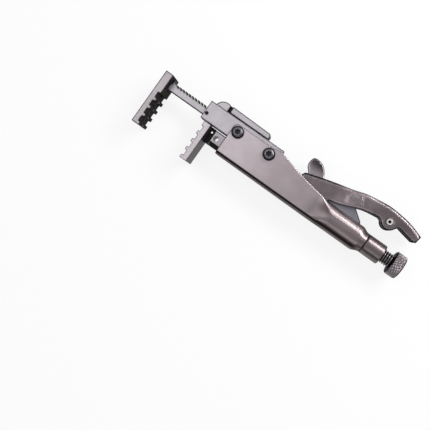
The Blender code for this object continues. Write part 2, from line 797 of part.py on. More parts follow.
def pawl_spring(pivot, material):
    start = PAWL_REAR_X + SEAT_GAP + PAWL_SPRING_WIRE / 2
    end = PAWL_REAR_X + PAWL_SPRING_LENGTH - PAWL_SPRING_WIRE / 2
    points = helix(start, end, PAWL_SPRING_Y, PAWL_SPRING_RADIUS, PAWL_SPRING_TURNS)
    gap = least_gap(points, PAWL_SPRING_WIRE, SPRING_STEPS // 2)
    print(f"pawl_spring least gap {gap / MM:.2f} mm")
    return hang(wire("pawl_spring", points, PAWL_SPRING_WIRE / 2, material), pivot)


def housing_screw(name, x, side, pivot, material):
    """A button head screw with a hexagon socket; side is +1 or -1 along Z."""
    seat = HALF_BODY + SEAT_GAP
    top = seat + SCREW_HEAD_HEIGHT
    dome = SCREW_HEAD_HEIGHT - SCREW_HEAD_RIM
    profile = [(top, 0.0)]
    for i in range(1, CORNER_STEPS + 1):
        share = i / CORNER_STEPS
        radius = SCREW_HEAD_RADIUS * math.sin(share * math.pi / 2)
        profile.append((seat + SCREW_HEAD_RIM + dome * math.cos(share * math.pi / 2), radius))
    profile += [(seat, SCREW_HEAD_RADIUS), (seat, HOUSING_SCREW_RADIUS)]
    profile += [(HALF_BAR + 2 * SEAT_GAP, HOUSING_SCREW_RADIUS), (HALF_BAR + 2 * SEAT_GAP, 0.0)]
    made = turned(
        name, [(side * z, radius) for z, radius in profile], (x, HOUSING_SCREW_Y, 0.0), "z", material,
        ROUND_SIDES // 2 + 4,
    )
    socket = rod(
        name + "_socket", (x, HOUSING_SCREW_Y, side * (top - SOCKET_DEPTH)),
        (x, HOUSING_SCREW_Y, side * (top + OVERRUN)), SOCKET_RADIUS, None, 6,
    )
    return hang(cut(made, socket), pivot)


# Body channel and adjuster


def ease(start, end, share):
    share = min(max(share, 0.0), 1.0)
    share = share * share * (3 - 2 * share)
    return start + (end - start) * share


def section(x, half, low, high, low_round, high_round):
    """A rounded box section across the tool at x, going round from its lower near corner.

    Each corner is a quarter of an ellipse, given as its reach across the tool and its reach up.
    """
    corners = (
        ((half, low), (-1, 1), low_round, 270.0),
        ((half, high), (-1, -1), high_round, 0.0),
        ((-half, high), (1, -1), high_round, 90.0),
        ((-half, low), (1, 1), low_round, 180.0),
    )
    ring = []
    for (z, y), (z_in, y_in), (across, up), start in corners:
        for cz, cy in arc((0.0, 0.0), 1.0, start, start + 90.0):
            ring.append((x, y + up * (y_in + cy), z + across * (z_in + cz)))
    return ring


def body_top(x):
    """Height of the body's upper edge at x, from the rounded front corner to the nut."""
    corner_end = BODY_FRONT_X + BODY_CORNER_RADIUS
    if x < corner_end:
        across = corner_end - x
        return BODY_TOP_Y - BODY_CORNER_RADIUS + math.sqrt(max(BODY_CORNER_RADIUS ** 2 - across ** 2, 0.0))
    if x < CREST_START_X:
        return BODY_TOP_Y
    if x < CREST_X:
        return ease(BODY_TOP_Y, CREST_Y, (x - CREST_START_X) / (CREST_X - CREST_START_X))
    if x < CREST_X + CREST_FLAT:
        return CREST_Y
    if x < THROAT_X:
        fall = (x - CREST_X - CREST_FLAT) / (THROAT_X - CREST_X - CREST_FLAT)
        return CREST_Y + (THROAT_Y - CREST_Y) * fall - 4 * TAPER_SAG * fall * (1 - fall)
    if x < SHOULDER_X - SHOULDER_LEAD:
        return ease(THROAT_Y, NECK_TOP_Y, (x - THROAT_X) / (NECK_ROUND_END_X - THROAT_X))
    return ease(NECK_TOP_Y, TUBE_RADIUS, (x + SHOULDER_LEAD - SHOULDER_X) / (NECK_END_X - SHOULDER_X))


def body_section(x, inset=0.0):
    """The body's outer section at x, or the inside of its neck when inset by the wall."""
    rounding = (x - NECK_ROUND_START_X) / (NECK_ROUND_END_X - NECK_ROUND_START_X)
    closing = (x - SHOULDER_X) / (NECK_END_X - SHOULDER_X)
    fall = (x - BODY_FRONT_X) / (NECK_ROUND_START_X - BODY_FRONT_X)
    low = BODY_LOW_Y + (NECK_LOW_Y - BODY_LOW_Y) * min(fall, 1.0)
    low = ease(low, -TUBE_RADIUS, closing)
    half = ease(HALF_BODY, NECK_WIDTH / 2, rounding)
    half = ease(half, TUBE_RADIUS, closing)
    high = body_top(x)
    full = (half * ROUND_SHARE - inset, (high - low) / 2 * ROUND_SHARE - inset)
    rounds = []
    for start in (BODY_BEND_RADIUS, BODY_EDGE_RADIUS):
        start = max(start - inset, BODY_EDGE_RADIUS)
        rounds.append([ease(start, end, rounding) for end in full])
    return section(x, half - inset, low + inset, high - inset, *rounds)


def spread(start, end, count):
    return [start + (end - start) * i / count for i in range(count + 1)]


def body_stations():
    corner_end = BODY_FRONT_X + BODY_CORNER_RADIUS
    stations = [
        corner_end - BODY_CORNER_RADIUS * math.cos(math.pi / 2 * i / CORNER_STEPS)
        for i in range(CORNER_STEPS + 1)
    ]
    stations += spread(CREST_START_X, CREST_X, CORNER_STEPS)
    stations += spread(CREST_X + CREST_FLAT, NECK_ROUND_START_X, CORNER_STEPS)
    stations += spread(NECK_ROUND_START_X, NECK_ROUND_END_X, 2 * CORNER_STEPS)[1:]
    return stations + spread(SHOULDER_X - SHOULDER_LEAD, NECK_END_X, CORNER_STEPS + 1)


def body_channel(pivot, material):
    made = loft("body_channel", [body_section(x) for x in body_stations()], material)
    corner = BODY_WALL / 2
    edge = BODY_EDGE_RADIUS
    cavity = [
        section(x, HALF_CAVITY, CAVITY_LOW_Y, CREST_Y + 2 * OVERRUN, (corner, corner), (edge, edge))
        for x in (BODY_FRONT_X - OVERRUN, CAVITY_END_X)
    ]
    cut(made, loft("body_cavity", cavity))
    shoulder = SHOULDER_X - SHOULDER_LEAD
    neck = [body_section(x, NECK_WALL) for x in spread(CAVITY_END_X - BODY_WALL, shoulder, CORNER_STEPS)]
    neck += [body_section(x, NECK_WALL) for x in spread(shoulder, NECK_END_X, CORNER_STEPS + 1)[1:]]
    neck.append([(NECK_END_X + OVERRUN, y, z) for x, y, z in neck[-1]])
    cut(made, loft("neck_cavity", neck))
    half_slot = LINK_WIDTH / 2 + SEAT_GAP
    cut(made, block(
        "neck_slot",
        (CAVITY_END_X - OVERRUN, 0.0, -half_slot), (NECK_SLOT_END_X, CREST_Y, half_slot),
    ))
    return hang(screw_holes(made), pivot)


def adjuster_nut(pivot, material):
    bore = SCREW_RADIUS + SEAT_GAP
    face = NECK_END_X + SEAT_GAP
    spigot = TUBE_RADIUS - NECK_WALL - SEAT_GAP
    profile = [
        (NECK_END_X - NUT_SPIGOT, bore), (NECK_END_X - NUT_SPIGOT, spigot), (face, spigot),
        (face, TUBE_RADIUS - NUT_CHAMFER), (face + NUT_CHAMFER, TUBE_RADIUS),
        (NUT_REAR_X - NUT_CHAMFER, TUBE_RADIUS), (NUT_REAR_X, TUBE_RADIUS - NUT_CHAMFER),
        (NUT_REAR_X, bore), (NECK_END_X - NUT_SPIGOT, bore),
    ]
    return hang(turned("adjuster_nut", profile, (0.0, 0.0, 0.0), "x", material), pivot)


def screw_thrust_cap(pivot, material):
    end = CAP_FRONT_X + CAP_LENGTH
    pocket = DOG_RADIUS + SEAT_GAP
    pocket_end = end + SEAT_GAP - DOG_LENGTH - SEAT_GAP
    profile = [
        (CAP_FRONT_X, 0.0), (CAP_FRONT_X, CAP_RADIUS - NUT_CHAMFER),
        (CAP_FRONT_X + NUT_CHAMFER, CAP_RADIUS),
        (end, CAP_RADIUS), (end, pocket), (pocket_end, pocket), (pocket_end, 0.0),
    ]
    return hang(turned("screw_thrust_cap", profile, (0.0, 0.0, 0.0), "x", material), pivot)


def adjusting_screw(pivot, material):
    shoulder = CAP_FRONT_X + CAP_LENGTH + SEAT_GAP
    shank_end = KNOB_FRONT_X - SEAT_GAP
    profile = [
        (shoulder - DOG_LENGTH, 0.0), (shoulder - DOG_LENGTH, DOG_RADIUS), (shoulder, DOG_RADIUS),
        (shoulder, SCREW_RADIUS - NUT_CHAMFER), (shoulder + NUT_CHAMFER, SCREW_RADIUS),
        (shank_end, SCREW_RADIUS), (shank_end, KNOB_STUD_RADIUS),
        (shank_end + KNOB_STUD_LENGTH, KNOB_STUD_RADIUS), (shank_end + KNOB_STUD_LENGTH, 0.0),
    ]
    return hang(turned("adjusting_screw", profile, (0.0, 0.0, 0.0), "x", material), pivot)


def adjuster_knob(pivot, material):
    end = KNOB_FRONT_X + KNOB_LENGTH
    bore = KNOB_STUD_RADIUS + SEAT_GAP
    bore_end = KNOB_FRONT_X + KNOB_STUD_LENGTH
    profile = [
        (bore_end, 0.0), (bore_end, bore), (KNOB_FRONT_X, bore),
        (KNOB_FRONT_X, KNOB_RADIUS - KNOB_CHAMFER), (KNOB_FRONT_X + KNOB_CHAMFER / 2, KNOB_RADIUS),
        (end - KNOB_CHAMFER / 2, KNOB_RADIUS), (end, KNOB_RADIUS - KNOB_CHAMFER), (end, 0.0),
    ]
    return hang(turned("adjuster_knob", profile, (0.0, 0.0, 0.0), "x", material), pivot)


# Push bar, rear jaw and return spring


def rear_jaw(pivot, material):
    face_x = REAR_JAW_BACK_X - JAW_THICKNESS
    outline = jaw_outline(
        REAR_JAW_BACK_X, face_x, face_x - TOOTH_HEIGHT, REAR_JAW_TIP_Y, REAR_JAW_HEAD_Y,
    )
    made = plate("rear_jaw", [outline], -HALF_JAW, HALF_JAW, material)
    bevelled(made, JAW_CHAMFER, 1)
    join(made, block(
        "rear_jaw_boss",
        (REAR_JAW_BACK_X - JAW_CHAMFER, REAR_BOSS_LOW_Y, -REAR_BOSS_WIDTH / 2),
        (REAR_JAW_BACK_X + REAR_BOSS_LENGTH, REAR_JAW_HEAD_Y - JAW_CHAMFER, REAR_BOSS_WIDTH / 2),
    ))
    cut(made, block(
        "rear_jaw_groove",
        (face_x - TOOTH_HEIGHT - OVERRUN, REAR_JAW_TIP_Y - OVERRUN, -JAW_GROOVE_WIDTH / 2),
        (face_x + JAW_GROOVE_DEPTH, REAR_JAW_HEAD_Y + OVERRUN, JAW_GROOVE_WIDTH / 2),
    ))
    cut(made, block(
        "rear_jaw_socket",
        (PUSH_FRONT_X - TENON_LENGTH - SEAT_GAP, TENON_LOW_Y - SEAT_GAP, -TENON_WIDTH / 2 - SEAT_GAP),
        (PUSH_FRONT_X + OVERRUN, TENON_TOP_Y + SEAT_GAP, TENON_WIDTH / 2 + SEAT_GAP),
    ))
    cut(made, rod(
        "rear_jaw_pin_hole", (JAW_PIN_X, JAW_PIN_Y, -HALF_JAW), (JAW_PIN_X, JAW_PIN_Y, HALF_JAW),
        JAW_PIN_RADIUS + SEAT_GAP,
    ))
    return hang(made, pivot)


def rear_jaw_pin(pivot, material):
    reach = REAR_BOSS_WIDTH / 2
    return hang(rod(
        "rear_jaw_pin", (JAW_PIN_X, JAW_PIN_Y, -reach), (JAW_PIN_X, JAW_PIN_Y, reach), JAW_PIN_RADIUS, material
    ), pivot)


def push_section(x, inset):
    """The push bar's section across the tool at x, with its wide upper chamfers."""
    half = HALF_CAVITY - SEAT_GAP - inset
    low = PUSH_LOW_Y + inset
    high = PUSH_TOP_Y - inset
    side = [
        (low, half - HOUSING_CHAMFER), (low + HOUSING_CHAMFER, half),
        (high - PUSH_TOP_CHAMFER, half), (high, half - PUSH_TOP_CHAMFER),
    ]
    return [(x, y, z) for y, z in side] + [(x, y, -z) for y, z in reversed(side)]


def push_bar(pivot, material):
    made = loft("push_bar", [
        push_section(PUSH_FRONT_X, HOUSING_CHAMFER),
        push_section(PUSH_FRONT_X + HOUSING_CHAMFER, 0.0),
        push_section(PUSH_WIDE_END_X - HOUSING_CHAMFER, 0.0),
        push_section(PUSH_WIDE_END_X, HOUSING_CHAMFER),
    ], material)
    eye = (PIVOT_X, 0.0)
    outline = [(PUSH_WIDE_END_X - OVERRUN, PUSH_TOP_Y - HOUSING_CHAMFER)]
    outline += [(PUSH_WIDE_END_X - OVERRUN, PUSH_LOW_Y + HOUSING_CHAMFER)]
    outline += arc(eye, PUSH_EYE_RADIUS, -80.0, 130.0, 2 * CORNER_STEPS)
    join(made, plate("push_tongue", [outline], -PUSH_TONGUE_WIDTH / 2, PUSH_TONGUE_WIDTH / 2))
    join(made, block(
        "push_rib",
        (RIB_FRONT_X, CAVITY_LOW_Y + SEAT_GAP, -RIB_WIDTH / 2),
        (PUSH_WIDE_END_X - OVERRUN, PUSH_LOW_Y + HOUSING_CHAMFER, RIB_WIDTH / 2),
    ))
    join(made, block(
        "push_tenon",
        (PUSH_FRONT_X - TENON_LENGTH, TENON_LOW_Y, -TENON_WIDTH / 2),
        (PUSH_FRONT_X + OVERRUN, TENON_TOP_Y, TENON_WIDTH / 2),
    ))
    holes = (
        ("push_cross_hole", CROSS_HOLE_X, CROSS_HOLE_Y, CROSS_HOLE_RADIUS),
        ("push_jaw_pin_hole", JAW_PIN_X, JAW_PIN_Y, JAW_PIN_RADIUS + SEAT_GAP),
        ("push_pivot_hole", PIVOT_X, 0.0, PIVOT_PIN_RADIUS + SEAT_GAP),
    )
    for name, x, y, radius in holes:
        cut(made, rod(name, (x, y, -HALF_BODY), (x, y, HALF_BODY), radius))
    coil = RETURN_SPRING_RADIUS + RETURN_SPRING_WIRE / 2 + SEAT_GAP
    cut(made, block(
        "push_spring_channel",
        (HOOK_POST_X - 2 * POST_RADIUS - SPRING_LEAD, RETURN_SPRING_Y - coil, -coil - POST_RADIUS / 2),
        (PUSH_WIDE_END_X + OVERRUN, PUSH_TOP_Y + OVERRUN, coil + POST_RADIUS / 2),
    ))
    cut(made, rod(
        "push_post_hole", (HOOK_POST_X, PUSH_TOP_Y - POST_GRIP - SEAT_GAP, 0.0),
        (HOOK_POST_X, PUSH_TOP_Y + OVERRUN, 0.0), POST_RADIUS + SEAT_GAP,
    ))
    return hang(made, pivot)


def hook_post(pivot, material):
    start = (HOOK_POST_X, PUSH_TOP_Y - POST_GRIP, 0.0)
    end = (HOOK_POST_X, HOUSING_LOW_Y - SEAT_GAP, 0.0)
    return hang(rod("spring_hook_post", start, end, POST_RADIUS, material), pivot)


def anchor_post(pivot, material):
    coil = RETURN_SPRING_RADIUS + RETURN_SPRING_WIRE / 2
    start = (ANCHOR_POST_X, RETURN_SPRING_Y - coil, 0.0)
    end = (ANCHOR_POST_X, BAR_LOW_Y - SEAT_GAP, 0.0)
    return hang(rod("spring_anchor_post", start, end, POST_RADIUS, material), pivot)


def hook_loop(post_x, radius, start, end):
    return [(x, RETURN_SPRING_Y, z) for x, z in arc((post_x, 0.0), radius, start, end, SPRING_STEPS)]


def return_spring(pivot, material):
    loop = POST_RADIUS + SEAT_GAP + RETURN_SPRING_WIRE / 2
    coil_start = HOOK_POST_X + loop + SPRING_LEAD
    coil_end = ANCHOR_POST_X - loop - SPRING_LEAD
    points = hook_loop(HOOK_POST_X, loop, 60.0, 270.0)
    coil = helix(coil_start, coil_end, RETURN_SPRING_Y, RETURN_SPRING_RADIUS, RETURN_SPRING_TURNS)
    points += coil
    points += hook_loop(ANCHOR_POST_X, loop, 270.0, 480.0)
    gap = least_gap(coil, RETURN_SPRING_WIRE, SPRING_STEPS // 2)
    print(f"return_spring least gap {gap / MM:.2f} mm")
    return hang(wire("return_spring", points, RETURN_SPRING_WIRE / 2, material), pivot)


# Handle, toggle link and release lever


def handle_top():
    return smooth(handle_points(HANDLE_TOP_SHARES))


def handle_outline():
    """Once round the handle's side, from the tail along the top to the front and back below."""
    rivet = (RIVET_X, RIVET_Y)
    outline = handle_top()[::-1]
    outline += arc((PIVOT_X, 0.0), PIVOT_EYE_RADIUS, 170.0, 270.0)
    outline += arc((LINK_PIVOT_X, LINK_PIVOT_Y), LINK_EYE_RADIUS, 270.0, 360.0)
    outline += smooth(handle_points(HANDLE_GRIP_SHARES[::-1]))
    outline += arc(rivet, RIVET_BOSS_RADIUS, 205.0, 335.0, 2 * CORNER_STEPS)
    outline += handle_points(HANDLE_TAIL_SHARES[::-1])
    return outline


def handle_inside():
    """The space between the handle's side walls, under its back, open below and in front."""
    back = moved_sideways(handle_top(), HANDLE_WALL)
    front = PIVOT_X - PIVOT_EYE_RADIUS - OVERRUN
    low = LINK_PIVOT_Y - LINK_EYE_RADIUS - OVERRUN
    end = HANDLE_FRONT_X + HANDLE_LENGTH + OVERRUN
    back[0] = (front, back[0][1])
    back[-1] = (end, back[-1][1] + HANDLE_WALL - OVERRUN)
    return [*back, (end, low), (front, low)]


def handle_shell(pivot, material):
    made = plate("handle_shell", [handle_outline()], -HALF_HANDLE, HALF_HANDLE, material)
    round_back(made)
    for side in (-1, 1):
        low, high = sorted((side * (HALF_HANDLE - PAD_HEIGHT), side * (HALF_HANDLE + PAD_HEIGHT)))
        join(made, plate("handle_pad", [handle_points(PAD_SHARES)], low, high))
    cut(made, plate("handle_space", [handle_inside()], -HALF_HANDLE_INSIDE, HALF_HANDLE_INSIDE))
    cut(made, block(
        "handle_tab_slot",
        (PIVOT_X - PIVOT_EYE_RADIUS, HANDLE_RISE / 3, -TAB_SLOT_WIDTH / 2),
        (TAB_SLOT_END_X, HANDLE_RISE, TAB_SLOT_WIDTH / 2),
    ))
    holes = (
        ("handle_pivot_hole", PIVOT_X, 0.0, PIVOT_PIN_RADIUS),
        ("handle_link_hole", LINK_PIVOT_X, LINK_PIVOT_Y, LINK_PIN_RADIUS),
        ("handle_rivet_hole", RIVET_X, RIVET_Y, RIVET_RADIUS),
    )
    for name, x, y, radius in holes:
        cut(made, rod(name, (x, y, -HALF_BODY), (x, y, HALF_BODY), radius + SEAT_GAP))
    return hang(made, pivot)


def round_back(made):
    """Rounds the two long edges where the handle's back meets its sides."""
    top = handle_top()
    bm = bmesh.new()
    bm.from_mesh(made.data)
    flat = math.radians(0.05)
    bmesh.ops.dissolve_limit(bm, angle_limit=flat, verts=bm.verts, edges=bm.edges)
    near = HANDLE_WALL / 4
    edges = []
    for edge in bm.edges:
        ends = [vert.co for vert in edge.verts]
        if abs(ends[0].z - ends[1].z) > near:
            continue
        if all(min(math.dist((end.x, end.y), point) for point in top) < near for end in ends):
            edges.append(edge)
    bmesh.ops.bevel(bm, geom=edges, offset=HANDLE_EDGE_RADIUS, segments=3, profile=0.5, affect="EDGES")
    bm.to_mesh(made.data)
    bm.free()
    shade(made)


def cross_pin(name, x, y, radius, pivot, material):
    return hang(rod(name, (x, y, -HALF_HANDLE), (x, y, HALF_HANDLE), radius, material), pivot)


def release_rivet(pivot, material):
    seat = HALF_HANDLE + SEAT_GAP
    top = seat + RIVET_HEAD_HEIGHT
    profile = [
        (top - RIVET_BORE_DEPTH, 0.0), (top - RIVET_BORE_DEPTH, RIVET_BORE_RADIUS),
        (top, RIVET_BORE_RADIUS),
        (top, RIVET_HEAD_RADIUS - RIVET_HEAD_HEIGHT / 3), (top - RIVET_HEAD_HEIGHT / 2, RIVET_HEAD_RADIUS),
        (seat, RIVET_HEAD_RADIUS), (seat, RIVET_RADIUS), (-seat, RIVET_RADIUS), (-seat, RIVET_HEAD_RADIUS),
        (-top + RIVET_HEAD_HEIGHT / 2, RIVET_HEAD_RADIUS),
        (-top, RIVET_HEAD_RADIUS - RIVET_HEAD_HEIGHT / 2),
        (-top, 0.0),
    ]
    centre = (RIVET_X, RIVET_Y, 0.0)
    return hang(turned("release_rivet", profile, centre, "z", material, PIN_SIDES + 4), pivot)


def link_outline():
    heel = (HEEL_X - HEEL_RADIUS, 0.0)
    outline = arc((LINK_PIVOT_X, LINK_PIVOT_Y), LINK_EYE_RADIUS, 270.0, 90.0 + 30.0, 2 * CORNER_STEPS)
    outline += link_points(LINK_BACK_SHARES) + link_points(LINK_REAR_SHARES)
    return outline + arc(heel, HEEL_RADIUS, 60.0, -90.0, 2 * CORNER_STEPS)


def toggle_link(pivot, material):
    hole = circle((LINK_PIVOT_X, LINK_PIVOT_Y), LINK_PIN_RADIUS + SEAT_GAP)
    made = plate("toggle_link", [link_outline(), hole], -LINK_WIDTH / 2, LINK_WIDTH / 2, material)
    return hang(made, pivot)


def release_lever(pivot, material):
    eye = (RIVET_X, RIVET_Y)
    arm = smooth(handle_points(LEVER_TOP_SHARES)) + handle_points(LEVER_LOW_SHARES[:1])
    arm += smooth(handle_points(LEVER_LOW_SHARES[1:]))
    arm += arc(eye, LEVER_EYE_RADIUS, 225.0, 480.0, 2 * CORNER_STEPS)
    hole = circle(eye, RIVET_RADIUS + SEAT_GAP)
    made = plate("release_lever", [arm, hole], -LEVER_WIDTH / 2, LEVER_WIDTH / 2, material)
    tab = smooth(handle_points(TAB_SHARES)) + handle_points(LEVER_LOW_SHARES[:2] + LEVER_TOP_SHARES[-1:])
    join(made, bevelled(plate("release_tab", [tab], -TAB_WIDTH / 2, TAB_WIDTH / 2), TAB_ROUND, 3))
    return hang(made, pivot)


# The whole tool


def footprint_middle():
    """Middle of the tool's box along X and Y, and half its thickness."""
    high = max(y for x, y in handle_top())
    low = min(FRONT_JAW_TIP_Y, REAR_JAW_TIP_Y)
    rear = KNOB_FRONT_X + KNOB_LENGTH
    return Vector(((FRONT_JAW_OUT_X + rear) / 2, (high + low) / 2, -HALF_JAW))


clear_scene()
PARTS = collection("hose_clamp_pliers")
CUTTERS = collection("shaping_helpers")
CUTTERS.hide_render = True

tool = empty("tool_origin", (0.0, 0.0, 0.0))
tool.location = -footprint_middle()
bar_slide = empty("bar_slide", (FRONT_HEAD_X, BAR_LOW_Y, 0.0), tool)
pawl_pivot = empty("pawl_pivot", (PAWL_PIVOT_X, PAWL_PIVOT_Y, 0.0), tool)
push_slide = empty("push_slide", (PUSH_FRONT_X, 0.0, 0.0), tool)
handle_pivot = empty("handle_pivot", (PIVOT_X, 0.0, 0.0), push_slide)
link_pivot = empty("link_pivot", (LINK_PIVOT_X, LINK_PIVOT_Y, 0.0), handle_pivot)
lever_pivot = empty("lever_pivot", (RIVET_X, RIVET_Y, 0.0), handle_pivot)
screw_travel = empty("screw_travel", (CAP_FRONT_X, 0.0, 0.0), tool)
screw_axis = empty("screw_axis", (KNOB_FRONT_X, 0.0, 0.0), screw_travel)

satin = satin_steel()
phosphate = phosphate_steel()
black = blackened_steel()
bright = bright_steel()
spring = spring_steel()

front_jaw(bar_slide, satin)
ratchet_bar(bar_slide, satin)
bar_stop_pin(bar_slide, bright)

bar_housing(tool, satin)
housing_guard(tool, satin)
bar_drag_screw(tool, black)
pawl_pin(tool, satin)
pawl_spring(tool, spring)
anchor_post(tool, bright)
return_spring(tool, spring)
body_channel(tool, phosphate)
adjuster_nut(tool, phosphate)
for number, screw_x in enumerate(screw_places(), 1):
    housing_screw(f"housing_screw_near_{number}", screw_x, 1, tool, black)
    housing_screw(f"housing_screw_far_{number}", screw_x, -1, tool, black)

ratchet_pawl(pawl_pivot, satin)

push_bar(push_slide, satin)
rear_jaw(push_slide, satin)
rear_jaw_pin(push_slide, bright)
hook_post(push_slide, bright)
cross_pin("handle_pivot_pin", PIVOT_X, 0.0, PIVOT_PIN_RADIUS, push_slide, bright)

handle_shell(handle_pivot, phosphate)
cross_pin("link_pin", LINK_PIVOT_X, LINK_PIVOT_Y, LINK_PIN_RADIUS, handle_pivot, bright)
release_rivet(handle_pivot, bright)
toggle_link(link_pivot, black)
release_lever(lever_pivot, phosphate)

screw_thrust_cap(screw_travel, black)
adjusting_screw(screw_axis, black)
adjuster_knob(screw_axis, phosphate)
bpy.context.view_layer.update()
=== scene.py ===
"""Looks of the hose clamp pliers: materials, thread, knurl, screw heads, springs, light, camera."""

import json
import math

import bmesh
import bpy
from mathutils import Matrix, Vector


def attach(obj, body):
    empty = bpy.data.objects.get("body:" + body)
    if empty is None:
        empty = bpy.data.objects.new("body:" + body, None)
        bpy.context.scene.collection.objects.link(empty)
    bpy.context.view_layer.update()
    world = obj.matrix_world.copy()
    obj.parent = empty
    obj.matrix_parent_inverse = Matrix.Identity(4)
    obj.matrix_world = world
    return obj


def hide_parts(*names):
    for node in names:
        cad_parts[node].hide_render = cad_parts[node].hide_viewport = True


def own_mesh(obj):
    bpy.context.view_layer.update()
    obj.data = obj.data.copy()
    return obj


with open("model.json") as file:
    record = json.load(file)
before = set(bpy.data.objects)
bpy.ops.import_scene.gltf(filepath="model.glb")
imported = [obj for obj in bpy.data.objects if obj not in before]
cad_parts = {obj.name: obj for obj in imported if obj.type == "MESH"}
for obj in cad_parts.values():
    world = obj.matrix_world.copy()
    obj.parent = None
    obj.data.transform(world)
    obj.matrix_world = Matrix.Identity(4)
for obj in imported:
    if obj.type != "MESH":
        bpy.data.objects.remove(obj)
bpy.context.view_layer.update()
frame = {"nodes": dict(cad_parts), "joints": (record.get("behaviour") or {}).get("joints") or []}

MM = 0.001
JOINTS = {joint["name"]: joint for joint in frame["joints"]}

# The tool's own frame: X runs from the front jaw to the knob, Y = Z = 0 is the screw's axis,
# and Z = 0 is the tool's middle plane
PIVOT_IN_TOOL = Vector((134.0, 0.0, 0.0)) * MM
TOOL_ORIGIN = Vector(JOINTS["handle_swing"]["pos_m"]) - PIVOT_IN_TOOL


def at(x, y, z=0.0):
    """A point of the tool's own frame, given in millimetres, in the scene."""
    return TOOL_ORIGIN + Vector((x, y, z)) * MM


# Materials

SOFT_SAMPLES, EDGE_SAMPLES = 16, 8
STATION_BLUR = 0.1


def colour_sockets(sockets):
    return [socket for socket in sockets if socket.type == "RGBA"]


class Nodes:
    """Short ways to add and link shader nodes of one material; lengths are in millimetres."""

    def __init__(self, name):
        self.material = bpy.data.materials.new(name)
        self.material.use_nodes = True
        self.tree = self.material.node_tree
        self.shader = self.tree.nodes["Principled BSDF"]
        self.place = self.add("ShaderNodeTexCoord")

    def add(self, kind, **settings):
        node = self.tree.nodes.new(kind)
        for key, value in settings.items():
            setattr(node, key, value)
        return node

    def link(self, source, target):
        self.tree.links.new(source, target)

    def math(self, operation, a, b=None, clamp=False):
        node = self.add("ShaderNodeMath", operation=operation, use_clamp=clamp)
        for socket, value in zip(node.inputs, (a, b)):
            if value is None:
                continue
            if isinstance(value, (int, float)):
                socket.default_value = value
            else:
                self.link(value, socket)
        return node.outputs[0]

    def position(self):
        """The X, Y and Z of the shaded point on its own piece."""
        split = self.add("ShaderNodeSeparateXYZ")
        self.link(self.place.outputs["Object"], split.inputs[0])
        return split.outputs

    def noise(self, scale, detail):
        noise = self.add("ShaderNodeTexNoise")
        noise.inputs["Scale"].default_value = scale
        noise.inputs["Detail"].default_value = detail
        noise.inputs["Roughness"].default_value = 0.55
        self.link(self.place.outputs["Object"], noise.inputs["Vector"])
        return noise.outputs["Fac"]

    def spread(self, value, low, high, to_low=0.0, to_high=1.0):
        node = self.add("ShaderNodeMapRange", interpolation_type="SMOOTHSTEP")
        self.link(value, node.inputs["Value"])
        node.inputs["From Min"].default_value = low
        node.inputs["From Max"].default_value = high
        node.inputs["To Min"].default_value = to_low
        node.inputs["To Max"].default_value = to_high
        return node.outputs["Result"]

    def blend(self, factor, a, b):
        """Colour a where the factor is 0 and colour b where it is 1."""
        node = self.add("ShaderNodeMix", data_type="RGBA")
        for socket, value in zip(colour_sockets(node.inputs), (a, b)):
            if isinstance(value, tuple):
                socket.default_value = (*value, 1.0)
            else:
                self.link(value, socket)
        self.link(factor, node.inputs["Factor"])
        return colour_sockets(node.outputs)[0]

    def tinted(self, colour, factor, dark, light):
        """The colour times a grey that the factor moves from dark to light."""
        node = self.add("ShaderNodeMix", data_type="RGBA", blend_type="MULTIPLY")
        node.inputs["Factor"].default_value = 1.0
        first, second = colour_sockets(node.inputs)
        self.link(colour, first)
        self.link(self.blend(factor, (dark,) * 3, (light,) * 3), second)
        return colour_sockets(node.outputs)[0]

    def softened(self, radius):
        """The normal, turned over as if the edges had this radius."""
        bevel = self.add("ShaderNodeBevel", samples=SOFT_SAMPLES)
        bevel.inputs["Radius"].default_value = radius * MM
        return bevel.outputs[0]

    def flatness(self, low, high, normal=None):
        """1 on the broad faces that lie along the tool, 0 on its edges and sides."""
        split = self.add("ShaderNodeSeparateXYZ")
        self.link(normal or self.place.outputs["Normal"], split.inputs[0])
        up = self.math("ABSOLUTE", split.outputs["Z"])
        return self.spread(up, low, high)

    def past(self, axis, level, soft):
        """0 before and 1 past a level on one of the tool's axes."""
        edge = TOOL_ORIGIN["XYZ".index(axis)] + level * MM
        return self.spread(self.position()[axis], edge - soft * MM, edge + soft * MM)

    def within(self, axis, start, end, soft):
        """1 between two levels on one of the tool's axes."""
        return self.math("SUBTRACT", self.past(axis, start, soft), self.past(axis, end, soft))

    def recess(self, near, far, start=None, end=None):
        """1 nearer to the tool's middle plane than near and 0 past far, from start to end in X."""
        off = self.math("SUBTRACT", self.position()["Z"], TOOL_ORIGIN.z)
        deep = self.spread(self.math("ABSOLUTE", off), near * MM, far * MM, 1.0, 0.0)
        if start is None:
            return deep
        return self.math("MULTIPLY", deep, self.within("X", start, end, STATION_BLUR))

    def from_axis(self, near, far):
        """0 at near and 1 at far from the screw's axis."""
        place = self.position()
        y = self.math("SUBTRACT", place["Y"], TOOL_ORIGIN.y)
        z = self.math("SUBTRACT", place["Z"], TOOL_ORIGIN.z)
        squared = self.math("ADD", self.math("MULTIPLY", y, y), self.math("MULTIPLY", z, z))
        return self.spread(self.math("SQRT", squared), near * MM, far * MM)

    def edges(self, radius, low, high):
        """1 along convex and concave edges."""
        bevel = self.add("ShaderNodeBevel", samples=EDGE_SAMPLES)
        bevel.inputs["Radius"].default_value = radius * MM
        geometry = self.add("ShaderNodeNewGeometry")
        dot = self.add("ShaderNodeVectorMath", operation="DOT_PRODUCT")
        self.link(bevel.outputs[0], dot.inputs[0])
        self.link(geometry.outputs["Normal"], dot.inputs[1])
        bent = self.math("SUBTRACT", 1.0, dot.outputs["Value"])
        return self.spread(bent, low, high)


# Painted shade: the colour of dark outlines along edges and, dimmed, of recesses; valleys take the
# side colour dimmed
OUTLINE_SHADE = (0.014, 0.011, 0.011)
OUTLINE_BEND = (0.008, 0.06)
RECESS_SHADE, VALLEY_SHADE = 0.6, 0.3

